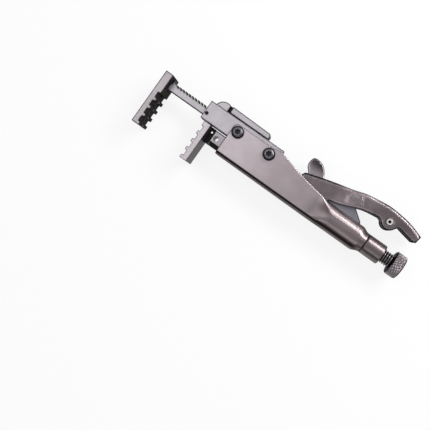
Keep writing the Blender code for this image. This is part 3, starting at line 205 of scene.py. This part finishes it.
CLOUD_SCALE, CLOUD_DETAIL = 70.0, 4.0
GRAIN_SCALE, GRAIN_DETAIL, GRAIN_RELIEF = 2200.0, 2.0, 0.05
GRAIN_SHADES = (0.93, 1.06)
NOISE_RANGE = (0.3, 0.7)

RUB_RADIUS, RUB_BEND = 0.4, (0.02, 0.12)
PATCH_SCALE, PATCH_DETAIL, PATCH_RANGE = 420.0, 3.0, (0.42, 0.62)


def shade(colour, share):
    return tuple(share * channel for channel in colour)


def metal(
    name, face, side, roughness, metallic, mottle, flat=(0.45, 0.92), rounding=None, painted_outline=None,
    recess=None, zones=(), painted_highlight=None, valley=None, wear=None, bump=0.04, grazing=1.0,
):
    """Finished steel: broad faces in the face colour, edges and sides painted darker as shade, with
    grain and wear.

    flat: how level a surface is where the side colour, painted shade, starts and ends turning to
    face.
    rounding: radius that softens the edges for light; painted_outline: radius and strength of dark
    outlines, painted shade along edges.
    recess, valley: painted shade in hollows, measured as in Nodes.recess and Nodes.from_axis.
    zones: tones of single stretches, mostly painted light and shade, with start, end and blur along
    X, Y or both.
    painted_highlight: two levels of flatness and the tone between them, a painted highlight on bent
    edges.
    wear: strength and tone of rubbed edges.
    """
    n = Nodes(name)
    soft = n.softened(rounding) if rounding else None
    # Painted shade: the side colour on edges and sides that turn away from the broad faces
    colour = n.blend(n.flatness(*flat, soft), side, face)
    # Painted light and shade by place on the tool, set in the zones below
    for zone in zones:
        share = None
        for axis in "XY":
            if axis in zone:
                part = n.within(axis, *zone[axis])
                share = part if share is None else n.math("MULTIPLY", share, part)
        colour = n.blend(share, colour, zone["tone"])
    # Painted shade in recesses, darker than the outlines
    if recess:
        colour = n.blend(n.recess(*recess), colour, shade(OUTLINE_SHADE, RECESS_SHADE))
    # Painted shade: dark outlines along convex and concave edges
    if painted_outline:
        radius, strength = painted_outline
        outline = n.edges(radius, *OUTLINE_BEND)
        colour = n.blend(n.math("MULTIPLY", outline, strength), colour, OUTLINE_SHADE)
    # Painted highlight: a light band on bent edges, between two levels of flatness
    if painted_highlight:
        low, high, tone = painted_highlight
        middle = 0.5 * (low + high)
        highlight_band = n.math("SUBTRACT", n.flatness(low, middle, soft), n.flatness(middle, high, soft))
        colour = n.blend(highlight_band, colour, tone)
    # Painted shade in valleys about the screw's axis, lighter crests
    if valley:
        colour = n.blend(n.from_axis(*valley), shade(side, VALLEY_SHADE), colour)

    cloud = n.spread(n.noise(CLOUD_SCALE, CLOUD_DETAIL), *NOISE_RANGE)
    colour = n.tinted(colour, cloud, 1.0 - 2.0 * mottle, 1.0 + mottle)
    grain = n.noise(GRAIN_SCALE, GRAIN_DETAIL)
    colour = n.tinted(colour, n.spread(grain, *NOISE_RANGE), *GRAIN_SHADES)
    if wear:
        strength, tone = wear
        patchy = n.spread(n.noise(PATCH_SCALE, PATCH_DETAIL), *PATCH_RANGE, 0.25, 1.0)
        rubbed = n.math("MULTIPLY", n.edges(RUB_RADIUS, *RUB_BEND), patchy)
        colour = n.blend(n.math("MULTIPLY", rubbed, strength, True), colour, tone)

    n.link(colour, n.shader.inputs["Base Color"])
    n.shader.inputs["Metallic"].default_value = metallic
    n.shader.inputs["Specular Tint"].default_value = (grazing, grazing, grazing, 1.0)
    rough = n.spread(grain, 0.25, 0.75, roughness - 0.05, roughness + 0.06)
    n.link(rough, n.shader.inputs["Roughness"])
    relief = n.add("ShaderNodeBump")
    relief.inputs["Strength"].default_value = bump
    relief.inputs["Distance"].default_value = GRAIN_RELIEF * MM
    n.link(grain, relief.inputs["Height"])
    if rounding:
        n.link(soft, relief.inputs["Normal"])
    n.link(relief.outputs[0], n.shader.inputs["Normal"])
    return n.material


# Face colours are the broad faces; side colours are painted shade on edges and sides
SATIN_FACE, SATIN_SIDE_SHADE = (0.485, 0.46, 0.49), (0.11, 0.10, 0.105)
JAW_FACE, JAW_SIDE_SHADE = (0.475, 0.435, 0.46), (0.045, 0.039, 0.037)
BODY_FACE, BODY_SIDE_SHADE = (0.414, 0.357, 0.376), (0.085, 0.066, 0.063)
HANDLE_FACE, HANDLE_SIDE_SHADE = (0.217, 0.178, 0.189), (0.040, 0.031, 0.030)
SATIN_LOOK = {"mottle": 0.035, "flat": (0.80, 0.99), "rounding": 0.9, "painted_outline": (2.0, 0.95)}

SATIN = metal(
    "satin_steel_finish", SATIN_FACE, SATIN_SIDE_SHADE, 0.40, 0.85, grazing=0.5, **SATIN_LOOK,
)
# The bar's darker side colour is painted shade in the rack's notches
BAR = metal(
    "satin_bar_finish", SATIN_FACE, (0.030, 0.027, 0.027), 0.40, 0.85,
    grazing=0.4, **SATIN_LOOK,
)
# Its recess mark is painted shade on the guard's parts nearer the middle plane, from X 50 to 60
GUARD = metal(
    "satin_guard_finish", SATIN_FACE, SATIN_SIDE_SHADE, 0.40, 0.85,
    recess=(4.15, 4.35, 50.0, 60.0), grazing=0.5, **SATIN_LOOK,
)
# Its recess mark is painted shade on the block's narrower lower rib
BLOCK = metal(
    "satin_block_finish", shade(SATIN_FACE, 0.8), SATIN_SIDE_SHADE, 0.40, 0.85,
    mottle=0.035, flat=(0.75, 0.97), painted_outline=(0.9, 0.7), recess=(3.6, 4.0),
)
JAW = metal(
    "jaw_steel_finish", JAW_FACE, JAW_SIDE_SHADE, 0.45, 0.85,
    mottle=0.06, flat=(0.80, 0.99), rounding=0.8, painted_outline=(1.8, 0.95), grazing=0.25,
)
# Its recess mark is painted shade on the boss behind the jaw, from X 54.9 to 70
REAR_JAW = metal(
    "rear_jaw_steel_finish", shade(JAW_FACE, 1.25), (0.036, 0.030, 0.027), 0.45, 0.85,
    mottle=0.05, flat=(0.6, 0.95), painted_outline=(0.9, 0.5), recess=(4.8, 5.2, 54.9, 70.0),
)
BODY_ZONES = (
    # Painted shade: the neck and the adjuster nut darker, the stretch where the taper runs into the
    # neck toned down, and a painted shadow in the hollow before the neck's bulge
    {"X": (171.0, 300.0, 6.0), "tone": (0.27, 0.222, 0.228)},
    {"X": (203.0, 300.0, 1.5), "tone": (0.20, 0.165, 0.168)},
    {"X": (157.0, 171.0, 6.0), "Y": (-7.0, 7.0, 3.0), "tone": (0.26, 0.218, 0.228)},
    {"X": (163.0, 173.0, 3.5), "Y": (0.5, 8.5, 3.0), "tone": (0.13, 0.105, 0.108)},
    # Painted shade: a dark band along the lower bend of the body and of the neck; painted light: a
    # lighter front of the body
    {"X": (-5.0, 170.0, 6.0), "Y": (-9.6, -7.7, 0.45), "tone": (0.018, 0.013, 0.012)},
    {"X": (165.0, 206.0, 5.0), "Y": (-9.6, -6.8, 1.2), "tone": (0.022, 0.016, 0.016)},
    {"X": (30.0, 98.0, 14.0), "Y": (-6.9, 40.0, 0.6), "tone": (0.468, 0.414, 0.436)},
)
PHOSPHATE = metal(
    "phosphate_body_finish", BODY_FACE, BODY_SIDE_SHADE, 0.33, 0.85,
    mottle=0.04, flat=(0.45, 0.80), rounding=2.0, painted_outline=(1.1, 0.9), zones=BODY_ZONES,
    wear=(0.06, (0.50, 0.46, 0.47)), bump=0.012, grazing=0.5,
)
HANDLE_ZONES = (
    # Painted light: a lighter middle of the handle; its pressed pad is lighter still
    {"X": (170.0, 200.0, 6.0), "tone": (0.29, 0.24, 0.252)},
    {"X": (176.5, 190.0, 1.0), "Y": (15.0, 28.0, 1.0), "tone": (0.37, 0.31, 0.325)},
)
# Painted shade and highlight: dark outlines along the handle's bends, a light line just inside them
HANDLE = metal(
    "phosphate_handle_finish", HANDLE_FACE, HANDLE_SIDE_SHADE, 0.31, 0.85,
    mottle=0.12, flat=(0.93, 0.96), rounding=4.0, painted_outline=(0.8, 0.8), zones=HANDLE_ZONES,
    painted_highlight=(0.935, 0.985, (0.66, 0.59, 0.61)),
    wear=(0.03, (0.55, 0.50, 0.50)), bump=0.015, grazing=0.3,
)
LEVER_ZONES = (
    # Painted light: the lever lighter below its thumb tab
    {"Y": (-20.0, 26.0, 4.5), "tone": (0.42, 0.37, 0.39)},
)
# Painted shade: the thumb tab's dark face colour, against the lighter lever below, with a dark
# outline and a light line inside its edge
TAB = metal(
    "phosphate_lever_finish", (0.085, 0.070, 0.080), HANDLE_SIDE_SHADE, 0.28, 0.85,
    mottle=0.12, flat=(0.92, 0.95), rounding=2.6, painted_outline=(0.7, 0.8), zones=LEVER_ZONES,
    painted_highlight=(0.93, 0.98, (0.75, 0.69, 0.72)),
    wear=(0.04, (0.55, 0.50, 0.50)), bump=0.015, grazing=0.3,
)
KNOB_ZONES = (
    # Painted shade: the knob's rear and front rims and end faces dark
    {"X": (243.7, 300.0, 0.4), "tone": (0.02, 0.016, 0.017)},
    {"X": (200.0, 235.9, 0.4), "tone": (0.02, 0.016, 0.017)},
)
# Painted shade: dark knurl valleys and sides, lighter crests
KNURL = metal(
    "phosphate_knurl_finish", (0.69, 0.61, 0.645), (0.07, 0.058, 0.062), 0.34, 0.85,
    mottle=0.06, flat=(0.1, 0.75), valley=(9.80, 10.10), zones=KNOB_ZONES, grazing=0.3,
)
# In the finishes below, the second colour is painted shade on edges and sides
BLACK = metal(
    "blackened_finish", (0.16, 0.15, 0.175), (0.010, 0.009, 0.011), 0.30, 0.7,
    mottle=0.08, flat=(0.70, 0.98),
)
# Painted shade: near black for the star recesses in the screw heads and for the drag screw, dark as
# a hole
SOCKET_SHADE = metal(
    "blackened_socket_painted_shade", (0.012, 0.011, 0.012), (0.006, 0.006, 0.006), 0.45, 0.5,
    mottle=0.08,
)
LINK = metal(
    "blued_link_finish", (0.26, 0.25, 0.28), (0.020, 0.020, 0.024), 0.38, 0.8,
    mottle=0.08, flat=(0.6, 0.95), painted_outline=(2.0, 0.9), grazing=0.5,
)
# Painted shade: dark thread roots, lighter crests
THREAD = metal(
    "oiled_thread_finish", (0.34, 0.30, 0.31), (0.06, 0.05, 0.05), 0.26, 0.8,
    mottle=0.08, flat=(0.1, 0.7), valley=(5.2, 5.8),
)
# Its recess mark is painted shade in the rivet's bore
RIVET = metal(
    "bright_rivet_finish", (0.98, 0.96, 0.92), (0.45, 0.42, 0.38), 0.32, 0.9,
    mottle=0.04, flat=(0.7, 0.95), recess=(4.6, 4.9),
)
BRIGHT = metal(
    "bright_steel_finish", (0.80, 0.78, 0.75), (0.50, 0.48, 0.45), 0.26, 0.95, mottle=0.04,
)
SPRING = metal(
    "spring_wire_finish", (0.36, 0.36, 0.37), (0.25, 0.25, 0.26), 0.30, 0.9, mottle=0.05,
)

FINISHES = {
    "front_jaw": JAW, "rear_jaw": REAR_JAW,
    "ratchet_bar": BAR, "bar_housing": SATIN, "housing_guard": GUARD, "ratchet_pawl": SATIN,
    "push_bar": BLOCK, "pawl_pin": SATIN,
    "body_channel": PHOSPHATE, "adjuster_nut": PHOSPHATE,
    "handle_shell": HANDLE, "release_lever": TAB, "adjuster_knob": KNURL,
    "toggle_link": LINK, "screw_thrust_cap": BLACK, "adjusting_screw": THREAD,
    # The drag screw is painted near black, as shade in its hole
    "bar_drag_screw": SOCKET_SHADE,
    "housing_screw_near_1": BLACK, "housing_screw_near_2": BLACK,
    "housing_screw_far_1": BLACK, "housing_screw_far_2": BLACK,
    "bar_stop_pin": BRIGHT, "spring_anchor_post": BRIGHT, "spring_hook_post": BRIGHT,
    "rear_jaw_pin": BRIGHT, "handle_pivot_pin": BRIGHT, "link_pin": BRIGHT,
    "release_rivet": RIVET,
    "pawl_spring": SPRING, "return_spring": SPRING,
}

for name, node in frame["nodes"].items():
    node.data.materials.clear()
    node.data.materials.append(FINISHES[name])


# Pieces that replace plain solids; their sizes are in millimetres


def piece(name, bm, material, sharp_from):
    """An object made of the mesh, with edges sharp from this angle in degrees."""
    mesh = bpy.data.meshes.new(name)
    bmesh.ops.recalc_face_normals(bm, faces=bm.faces)
    bm.to_mesh(mesh)
    bm.free()
    mesh.materials.append(material)
    mesh.shade_smooth()
    mesh.set_sharp_from_angle(angle=math.radians(sharp_from))
    made = bpy.data.objects.new(name, mesh)
    bpy.context.scene.collection.objects.link(made)
    return made


def circle(radius, around):
    """Points of a ring, whose radius is a number or a function of the turn."""
    points = []
    for i in range(around):
        turn = 2 * math.pi * i / around
        r = radius(turn) if callable(radius) else radius
        points.append((r * math.cos(turn), r * math.sin(turn)))
    return points


def skin(bm, rings):
    """Faces from each ring of corners to the next, where a ring of one corner is a tip."""
    for a, b in zip(rings, rings[1:]):
        around = max(len(a), len(b))
        for i in range(around):
            j = (i + 1) % around
            if len(a) == 1:
                bm.faces.new((a[0], b[i], b[j]))
            elif len(b) == 1:
                bm.faces.new((a[i], a[j], b[0]))
            else:
                bm.faces.new((a[i], a[j], b[j], b[i]))


def spun(rows, around):
    """A closed skin about the screw's axis, from rows of X and radius."""
    bm = bmesh.new()
    rings = []
    for x, radius in rows:
        points = [(0.0, 0.0)] if radius == 0.0 else circle(radius, around)
        rings.append([bm.verts.new(at(x, y, z)) for y, z in points])
    skin(bm, rings)
    return bm


def triangle_wave(share):
    """0 at whole numbers, 1 half way between them."""
    return 1.0 - abs(2.0 * (share % 1.0) - 1.0)


KNOB_FRONT, KNOB_REAR, KNOB_RADIUS = 235.1, 244.6, 10.2
KNOB_BORE, KNOB_BORE_END = 4.1, 242.7
# The knob's rounded rims: how far in from the end face, and how far below the radius
KNOB_RIM = ((0.0, 1.1), (0.12, 0.8), (0.5, 0.42))
DIMPLE_RADIUS, DIMPLE_FLOOR, DIMPLE_DEPTH = 3.2, 2.9, 0.25
KNURLS, KNURL_STEPS = 36, 8
KNURL_DEPTH, KNURL_MARGIN = 0.5, 0.9
KNURL_CREST = 1.45


def knurled_knob():
    pitch = 2 * math.pi * KNOB_RADIUS / KNURLS
    start, end = KNOB_FRONT + KNURL_MARGIN, KNOB_REAR - KNURL_MARGIN
    count = round((end - start) / (pitch / KNURL_STEPS))

    def knurl(x):
        def radius(turn):
            along = (x - start) / pitch
            a = triangle_wave(turn * KNURLS / (2 * math.pi) + along)
            b = triangle_wave(turn * KNURLS / (2 * math.pi) - along)
            height = min(1.0, KNURL_CREST * min(a, b))
            return KNOB_RADIUS - KNURL_DEPTH * (1.0 - height)
        return radius

    rows = [(KNOB_BORE_END, 0.0), (KNOB_BORE_END, KNOB_BORE), (KNOB_FRONT, KNOB_BORE)]
    rows += [(KNOB_FRONT + inset, KNOB_RADIUS - drop) for inset, drop in KNOB_RIM]
    for i in range(count + 1):
        x = start + (end - start) * i / count
        rows.append((x, knurl(x)))
    rows += [(KNOB_REAR - inset, KNOB_RADIUS - drop) for inset, drop in reversed(KNOB_RIM)]
    rows.append((KNOB_REAR, DIMPLE_RADIUS))
    rows += [(KNOB_REAR - DIMPLE_DEPTH, DIMPLE_FLOOR), (KNOB_REAR - DIMPLE_DEPTH, 0.0)]
    made = piece("knob_with_knurl", spun(rows, KNURLS * KNURL_STEPS), KNURL, 50)
    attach(made, "screw")
    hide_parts("adjuster_knob")


THREAD_PITCH, THREAD_STEPS, THREAD_AROUND = 2.0, 8, 48
THREAD_OUTER, THREAD_ROOT = 5.9, 4.75
# Shares of a half pitch: the flat root, and the flank up to the flat crest
ROOT_SHARE, FLANK_SHARE = 0.16, 0.62
THREAD_RUN_IN = 1.2
SCREW_START, SCREW_END = 210.2, 234.8
TIP_LENGTH, TIP_RADIUS, TIP_CHAMFER = 1.9, 2.0, 0.2
KNOB_SHANK_RADIUS, KNOB_SHANK_LENGTH = 3.8, 7.6


def threaded_screw():
    count = round((SCREW_END - SCREW_START) / (THREAD_PITCH / THREAD_STEPS))

    def thread(x):
        def radius(turn):
            share = triangle_wave((x - SCREW_START) / THREAD_PITCH - turn / (2 * math.pi))
            share = min(max((share - ROOT_SHARE) / FLANK_SHARE, 0.0), 1.0)
            taper = min((x - SCREW_START) / THREAD_RUN_IN, 1.0)
            return THREAD_ROOT + (THREAD_OUTER - THREAD_ROOT) * share * taper
        return radius

    tip = SCREW_START - TIP_LENGTH
    rows = [(tip, 0.0), (tip, TIP_RADIUS - TIP_CHAMFER)]
    rows += [(tip + TIP_CHAMFER, TIP_RADIUS), (SCREW_START, TIP_RADIUS)]
    for i in range(count + 1):
        x = SCREW_START + (SCREW_END - SCREW_START) * i / count
        rows.append((x, thread(x)))
    shank_end = SCREW_END + KNOB_SHANK_LENGTH
    rows += [(SCREW_END, KNOB_SHANK_RADIUS), (shank_end, KNOB_SHANK_RADIUS), (shank_end, 0.0)]
    made = piece("screw_with_thread", spun(rows, THREAD_AROUND), THREAD, 60)
    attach(made, "screw")
    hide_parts("adjusting_screw")


SCREW_XS = (75.1, 105.8)
SCREW_Y = 13.5
HEAD_AROUND, DOME_STEPS = 72, 10
HEAD_RADIUS, HEAD_HEIGHT, HEAD_RIM = 5.25, 3.0, 0.6
HEAD_SEAT, HEAD_CHAMFER = 8.3, (0.12, 0.15)
SHANK_RADIUS, SHANK_END = 3.0, 3.1
RECESS_RADIUS, RECESS_DEPTH = 2.55, 1.8
RECESS_FLOOR, RECESS_LIP, RECESS_LIP_DROP = 0.35, 0.35, 0.05
# The recess's wall: how far below the crown, and its share of the recess's radius
RECESS_WALL = ((RECESS_DEPTH - 0.15, 0.9), (0.22, 0.97), (0.08, 1.06))
LOBES, LOBE_DEPTH = 6, 0.16


def star_head_screw(node, x, side):
    """Button head with a six-lobe recess, turned about a line through the housing."""
    bm = bmesh.new()

    def ring(z, radius):
        points = circle(radius, HEAD_AROUND)
        return [bm.verts.new(at(x + u, SCREW_Y + v, side * z)) for u, v in points]

    def lobes(scale):
        def radius(turn):
            return RECESS_RADIUS * scale * (1.0 - LOBE_DEPTH + LOBE_DEPTH * math.cos(LOBES * turn))
        return radius

    top = HEAD_SEAT + HEAD_HEIGHT
    dome = HEAD_HEIGHT - HEAD_RIM
    rows = [ring(top - RECESS_DEPTH, RECESS_FLOOR)]
    rows += [ring(top - drop, lobes(scale)) for drop, scale in RECESS_WALL]
    inside = set(rows[0] + rows[1] + rows[2])
    start = math.asin((RECESS_RADIUS + RECESS_LIP) / HEAD_RADIUS)
    for i in range(DOME_STEPS + 1):
        turn = start + (math.pi / 2 - start) * i / DOME_STEPS
        z = HEAD_SEAT + HEAD_RIM + dome * math.cos(turn) / math.cos(start)
        drop = 0.0 if i else RECESS_LIP_DROP
        rows.append(ring(z - drop, HEAD_RADIUS * math.sin(turn)))
    rise, inset = HEAD_CHAMFER
    rows += [ring(HEAD_SEAT + rise, HEAD_RADIUS), ring(HEAD_SEAT, HEAD_RADIUS - inset)]
    rows += [ring(HEAD_SEAT, SHANK_RADIUS), ring(SHANK_END, SHANK_RADIUS)]
    skin(bm, rows)
    bm.faces.new(rows[0])
    bm.faces.new(rows[-1])
    # Faces inside the star recess take the socket's painted shade
    for face in bm.faces:
        face.material_index = int(all(corner in inside for corner in face.verts))
    made = piece(node + "_star_head", bm, BLACK, 40)
    made.data.materials.append(SOCKET_SHADE)
    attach(made, "body")
    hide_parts(node)


HOOK_X, ANCHOR_X = 78.0, 112.3
RETURN_Y, RETURN_COIL, RETURN_TURNS, RETURN_WIRE = 4.2, 1.45, 12, 0.3
LOOP_RADIUS, LOOP_STEPS, COIL_LEAD = 1.6, 16, 1.2
# Where each hooked loop starts and ends about its post, in degrees; the coil joins it at 270
HOOK_LOOP, ANCHOR_LOOP = (60.0, 270.0), (270.0, 480.0)
PAWL_COIL_START, PAWL_COIL_END = 57.95, 67.75
PAWL_COIL_Y, PAWL_COIL, PAWL_TURNS, PAWL_WIRE = 25.6, 1.25, 6, 0.25
COIL_STEPS, WIRE_AROUND, WIRE_END_SCALE = 24, 10, 0.72


def coil_points(start_x, end_x, axis_y, radius, turns):
    """A coil about a line along X, which starts and ends below the line in Z."""
    steps = COIL_STEPS * turns
    points = []
    for i in range(steps + 1):
        turn = 2 * math.pi * i / COIL_STEPS - math.pi / 2
        x = start_x + (end_x - start_x) * i / steps
        points.append((x, axis_y + radius * math.cos(turn), radius * math.sin(turn)))
    return points


def loop_points(post_x, height, radius, start, end):
    """The hooked end of a spring round its post, between two angles in degrees."""
    points = []
    for i in range(LOOP_STEPS + 1):
        turn = math.radians(start + (end - start) * i / LOOP_STEPS)
        points.append((post_x + radius * math.cos(turn), height, radius * math.sin(turn)))
    return points


def wound_wire(node, points, radius):
    """Round wire swept along points, in place of a faceted coil."""
    path = [at(*point) for point in points]
    last = len(path) - 1
    bm = bmesh.new()
    rings = []
    side = Vector((0.0, 1.0, 0.0))
    for i, centre in enumerate(path):
        forward = (path[min(i + 1, last)] - path[max(i - 1, 0)]).normalized()
        side = (side - forward * side.dot(forward)).normalized()
        other = forward.cross(side)
        reach = radius * (WIRE_END_SCALE if i in (0, last) else 1.0) * MM
        spokes = [side * u + other * v for u, v in circle(1.0, WIRE_AROUND)]
        rings.append([bm.verts.new(centre + spoke * reach) for spoke in spokes])
    skin(bm, rings)
    bm.faces.new(rings[0])
    bm.faces.new(rings[-1])
    made = piece(node + "_coil", bm, SPRING, 60)
    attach(made, "body")
    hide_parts(node)
    return made


def springs():
    points = loop_points(HOOK_X, RETURN_Y, LOOP_RADIUS, *HOOK_LOOP)
    start, end = HOOK_X + LOOP_RADIUS + COIL_LEAD, ANCHOR_X - LOOP_RADIUS - COIL_LEAD
    points += coil_points(start, end, RETURN_Y, RETURN_COIL, RETURN_TURNS)
    points += loop_points(ANCHOR_X, RETURN_Y, LOOP_RADIUS, *ANCHOR_LOOP)
    drawn = wound_wire("return_spring", points, RETURN_WIRE)
    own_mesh(drawn)
    points = coil_points(PAWL_COIL_START, PAWL_COIL_END, PAWL_COIL_Y, PAWL_COIL, PAWL_TURNS)
    pressed = wound_wire("pawl_spring", points, PAWL_WIRE)
    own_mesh(pressed)


knurled_knob()
threaded_screw()
springs()
for number, screw_x in enumerate(SCREW_XS, 1):
    star_head_screw(f"housing_screw_near_{number}", screw_x, 1)
    star_head_screw(f"housing_screw_far_{number}", screw_x, -1)


# Floor, light and camera

FLOOR_HALF, FLOOR_DROP = 40.0, 0.02 * MM
FLOOR_COLOUR = (0.94, 0.94, 0.94, 1.0)
# How much of the floor that the camera, a gloss or a clear piece sees is plain white
FLOOR_WHITE = 0.85

SKY_COLOUR = (0.97, 0.97, 1.0, 1.0)
# The sky's strength falls to nearly nothing low on the side that the tool's lower edge faces
SKY_STRENGTHS = (0.02, 0.36)
SKY_TURN = (-0.97, -0.60)


def pale_floor():
    bm = bmesh.new()
    bmesh.ops.create_grid(bm, x_segments=1, y_segments=1, size=FLOOR_HALF)
    bmesh.ops.translate(bm, vec=Vector((0.0, 0.0, -FLOOR_DROP)), verts=bm.verts)
    mesh = bpy.data.meshes.new("floor")
    bm.to_mesh(mesh)
    bm.free()
    floor = bpy.data.objects.new("floor", mesh)
    bpy.context.scene.collection.objects.link(floor)

    n = Nodes("pale_floor")
    n.shader.inputs["Base Color"].default_value = FLOOR_COLOUR
    n.shader.inputs["Roughness"].default_value = 0.9
    n.shader.inputs["Specular IOR Level"].default_value = 0.1
    glow = n.add("ShaderNodeEmission")
    glow.inputs["Strength"].default_value = 1.0
    rays = n.add("ShaderNodeLightPath").outputs
    seen = n.math("ADD", rays["Is Camera Ray"], rays["Is Glossy Ray"], True)
    seen = n.math("ADD", seen, rays["Is Transmission Ray"], True)
    mixed = n.add("ShaderNodeMixShader")
    n.link(n.math("MULTIPLY", seen, FLOOR_WHITE), mixed.inputs[0])
    n.link(n.shader.outputs[0], mixed.inputs[1])
    n.link(glow.outputs[0], mixed.inputs[2])
    n.link(mixed.outputs[0], n.tree.nodes["Material Output"].inputs["Surface"])
    floor.data.materials.append(n.material)


def studio_sky():
    world = bpy.data.worlds.new("studio")
    world.use_nodes = True
    nodes, links = world.node_tree.nodes, world.node_tree.links
    way = nodes.new("ShaderNodeTexCoord")
    split = nodes.new("ShaderNodeSeparateXYZ")
    links.new(way.outputs["Generated"], split.inputs[0])
    falls = nodes.new("ShaderNodeMapRange")
    falls.interpolation_type = "SMOOTHSTEP"
    links.new(split.outputs["Y"], falls.inputs["Value"])
    falls.inputs["From Min"].default_value, falls.inputs["From Max"].default_value = SKY_TURN
    falls.inputs["To Min"].default_value, falls.inputs["To Max"].default_value = SKY_STRENGTHS
    links.new(falls.outputs["Result"], nodes["Background"].inputs["Strength"])
    nodes["Background"].inputs["Color"].default_value = SKY_COLOUR
    bpy.context.scene.world = world


def area_lamp(name, place, size, power):
    """A rectangle of light that faces the middle of the scene."""
    light = bpy.data.lights.new(name, "AREA")
    light.shape = "RECTANGLE"
    light.size, light.size_y = size
    light.energy = power
    lamp = bpy.data.objects.new(name, light)
    lamp.location = place
    lamp.rotation_euler = (-Vector(place)).to_track_quat("-Z", "Y").to_euler()
    bpy.context.scene.collection.objects.link(lamp)


pale_floor()
studio_sky()
area_lamp("overhead", (-0.45, 0.05, 1.1), (0.9, 0.8), 2.7)
area_lamp("key", (0.45, 0.82, 0.67), (0.9, 0.26), 12.0)
area_lamp("fill", (0.30, -0.74, 0.84), (0.9, 0.25), 1.2)

# The camera: its place, its turns about Z, X and Y in degrees, its focal length in the image's
# pixels and the pixel that its axis passes through
IMAGE_SIZE, SENSOR_WIDTH = 430, 36.0
VIEW_CENTRE = at(153.9, -28.3, 467.9)
VIEW_TURNS = (-35.457, 0.703, -3.272)
FOCAL_PIXELS = 575.8
MIDDLE_PIXELS = (256.6, 218.2)

camera_data = bpy.data.cameras.new("camera")
camera_data.sensor_width = SENSOR_WIDTH
camera_data.lens = FOCAL_PIXELS * SENSOR_WIDTH / IMAGE_SIZE
camera_data.shift_x = (IMAGE_SIZE / 2 - MIDDLE_PIXELS[0]) / IMAGE_SIZE
camera_data.shift_y = (MIDDLE_PIXELS[1] - IMAGE_SIZE / 2) / IMAGE_SIZE
camera_data.clip_start = 0.01
camera = bpy.data.objects.new("camera", camera_data)
to_camera = Matrix.Identity(3)
for turn, axis in zip(VIEW_TURNS, "ZXY"):
    to_camera = to_camera @ Matrix.Rotation(math.radians(turn), 3, axis)
camera.matrix_world = Matrix.Translation(VIEW_CENTRE) @ to_camera.transposed().to_4x4()
bpy.context.scene.collection.objects.link(camera)
bpy.context.scene.camera = camera
bpy.context.scene.view_settings.view_transform = "Standard"
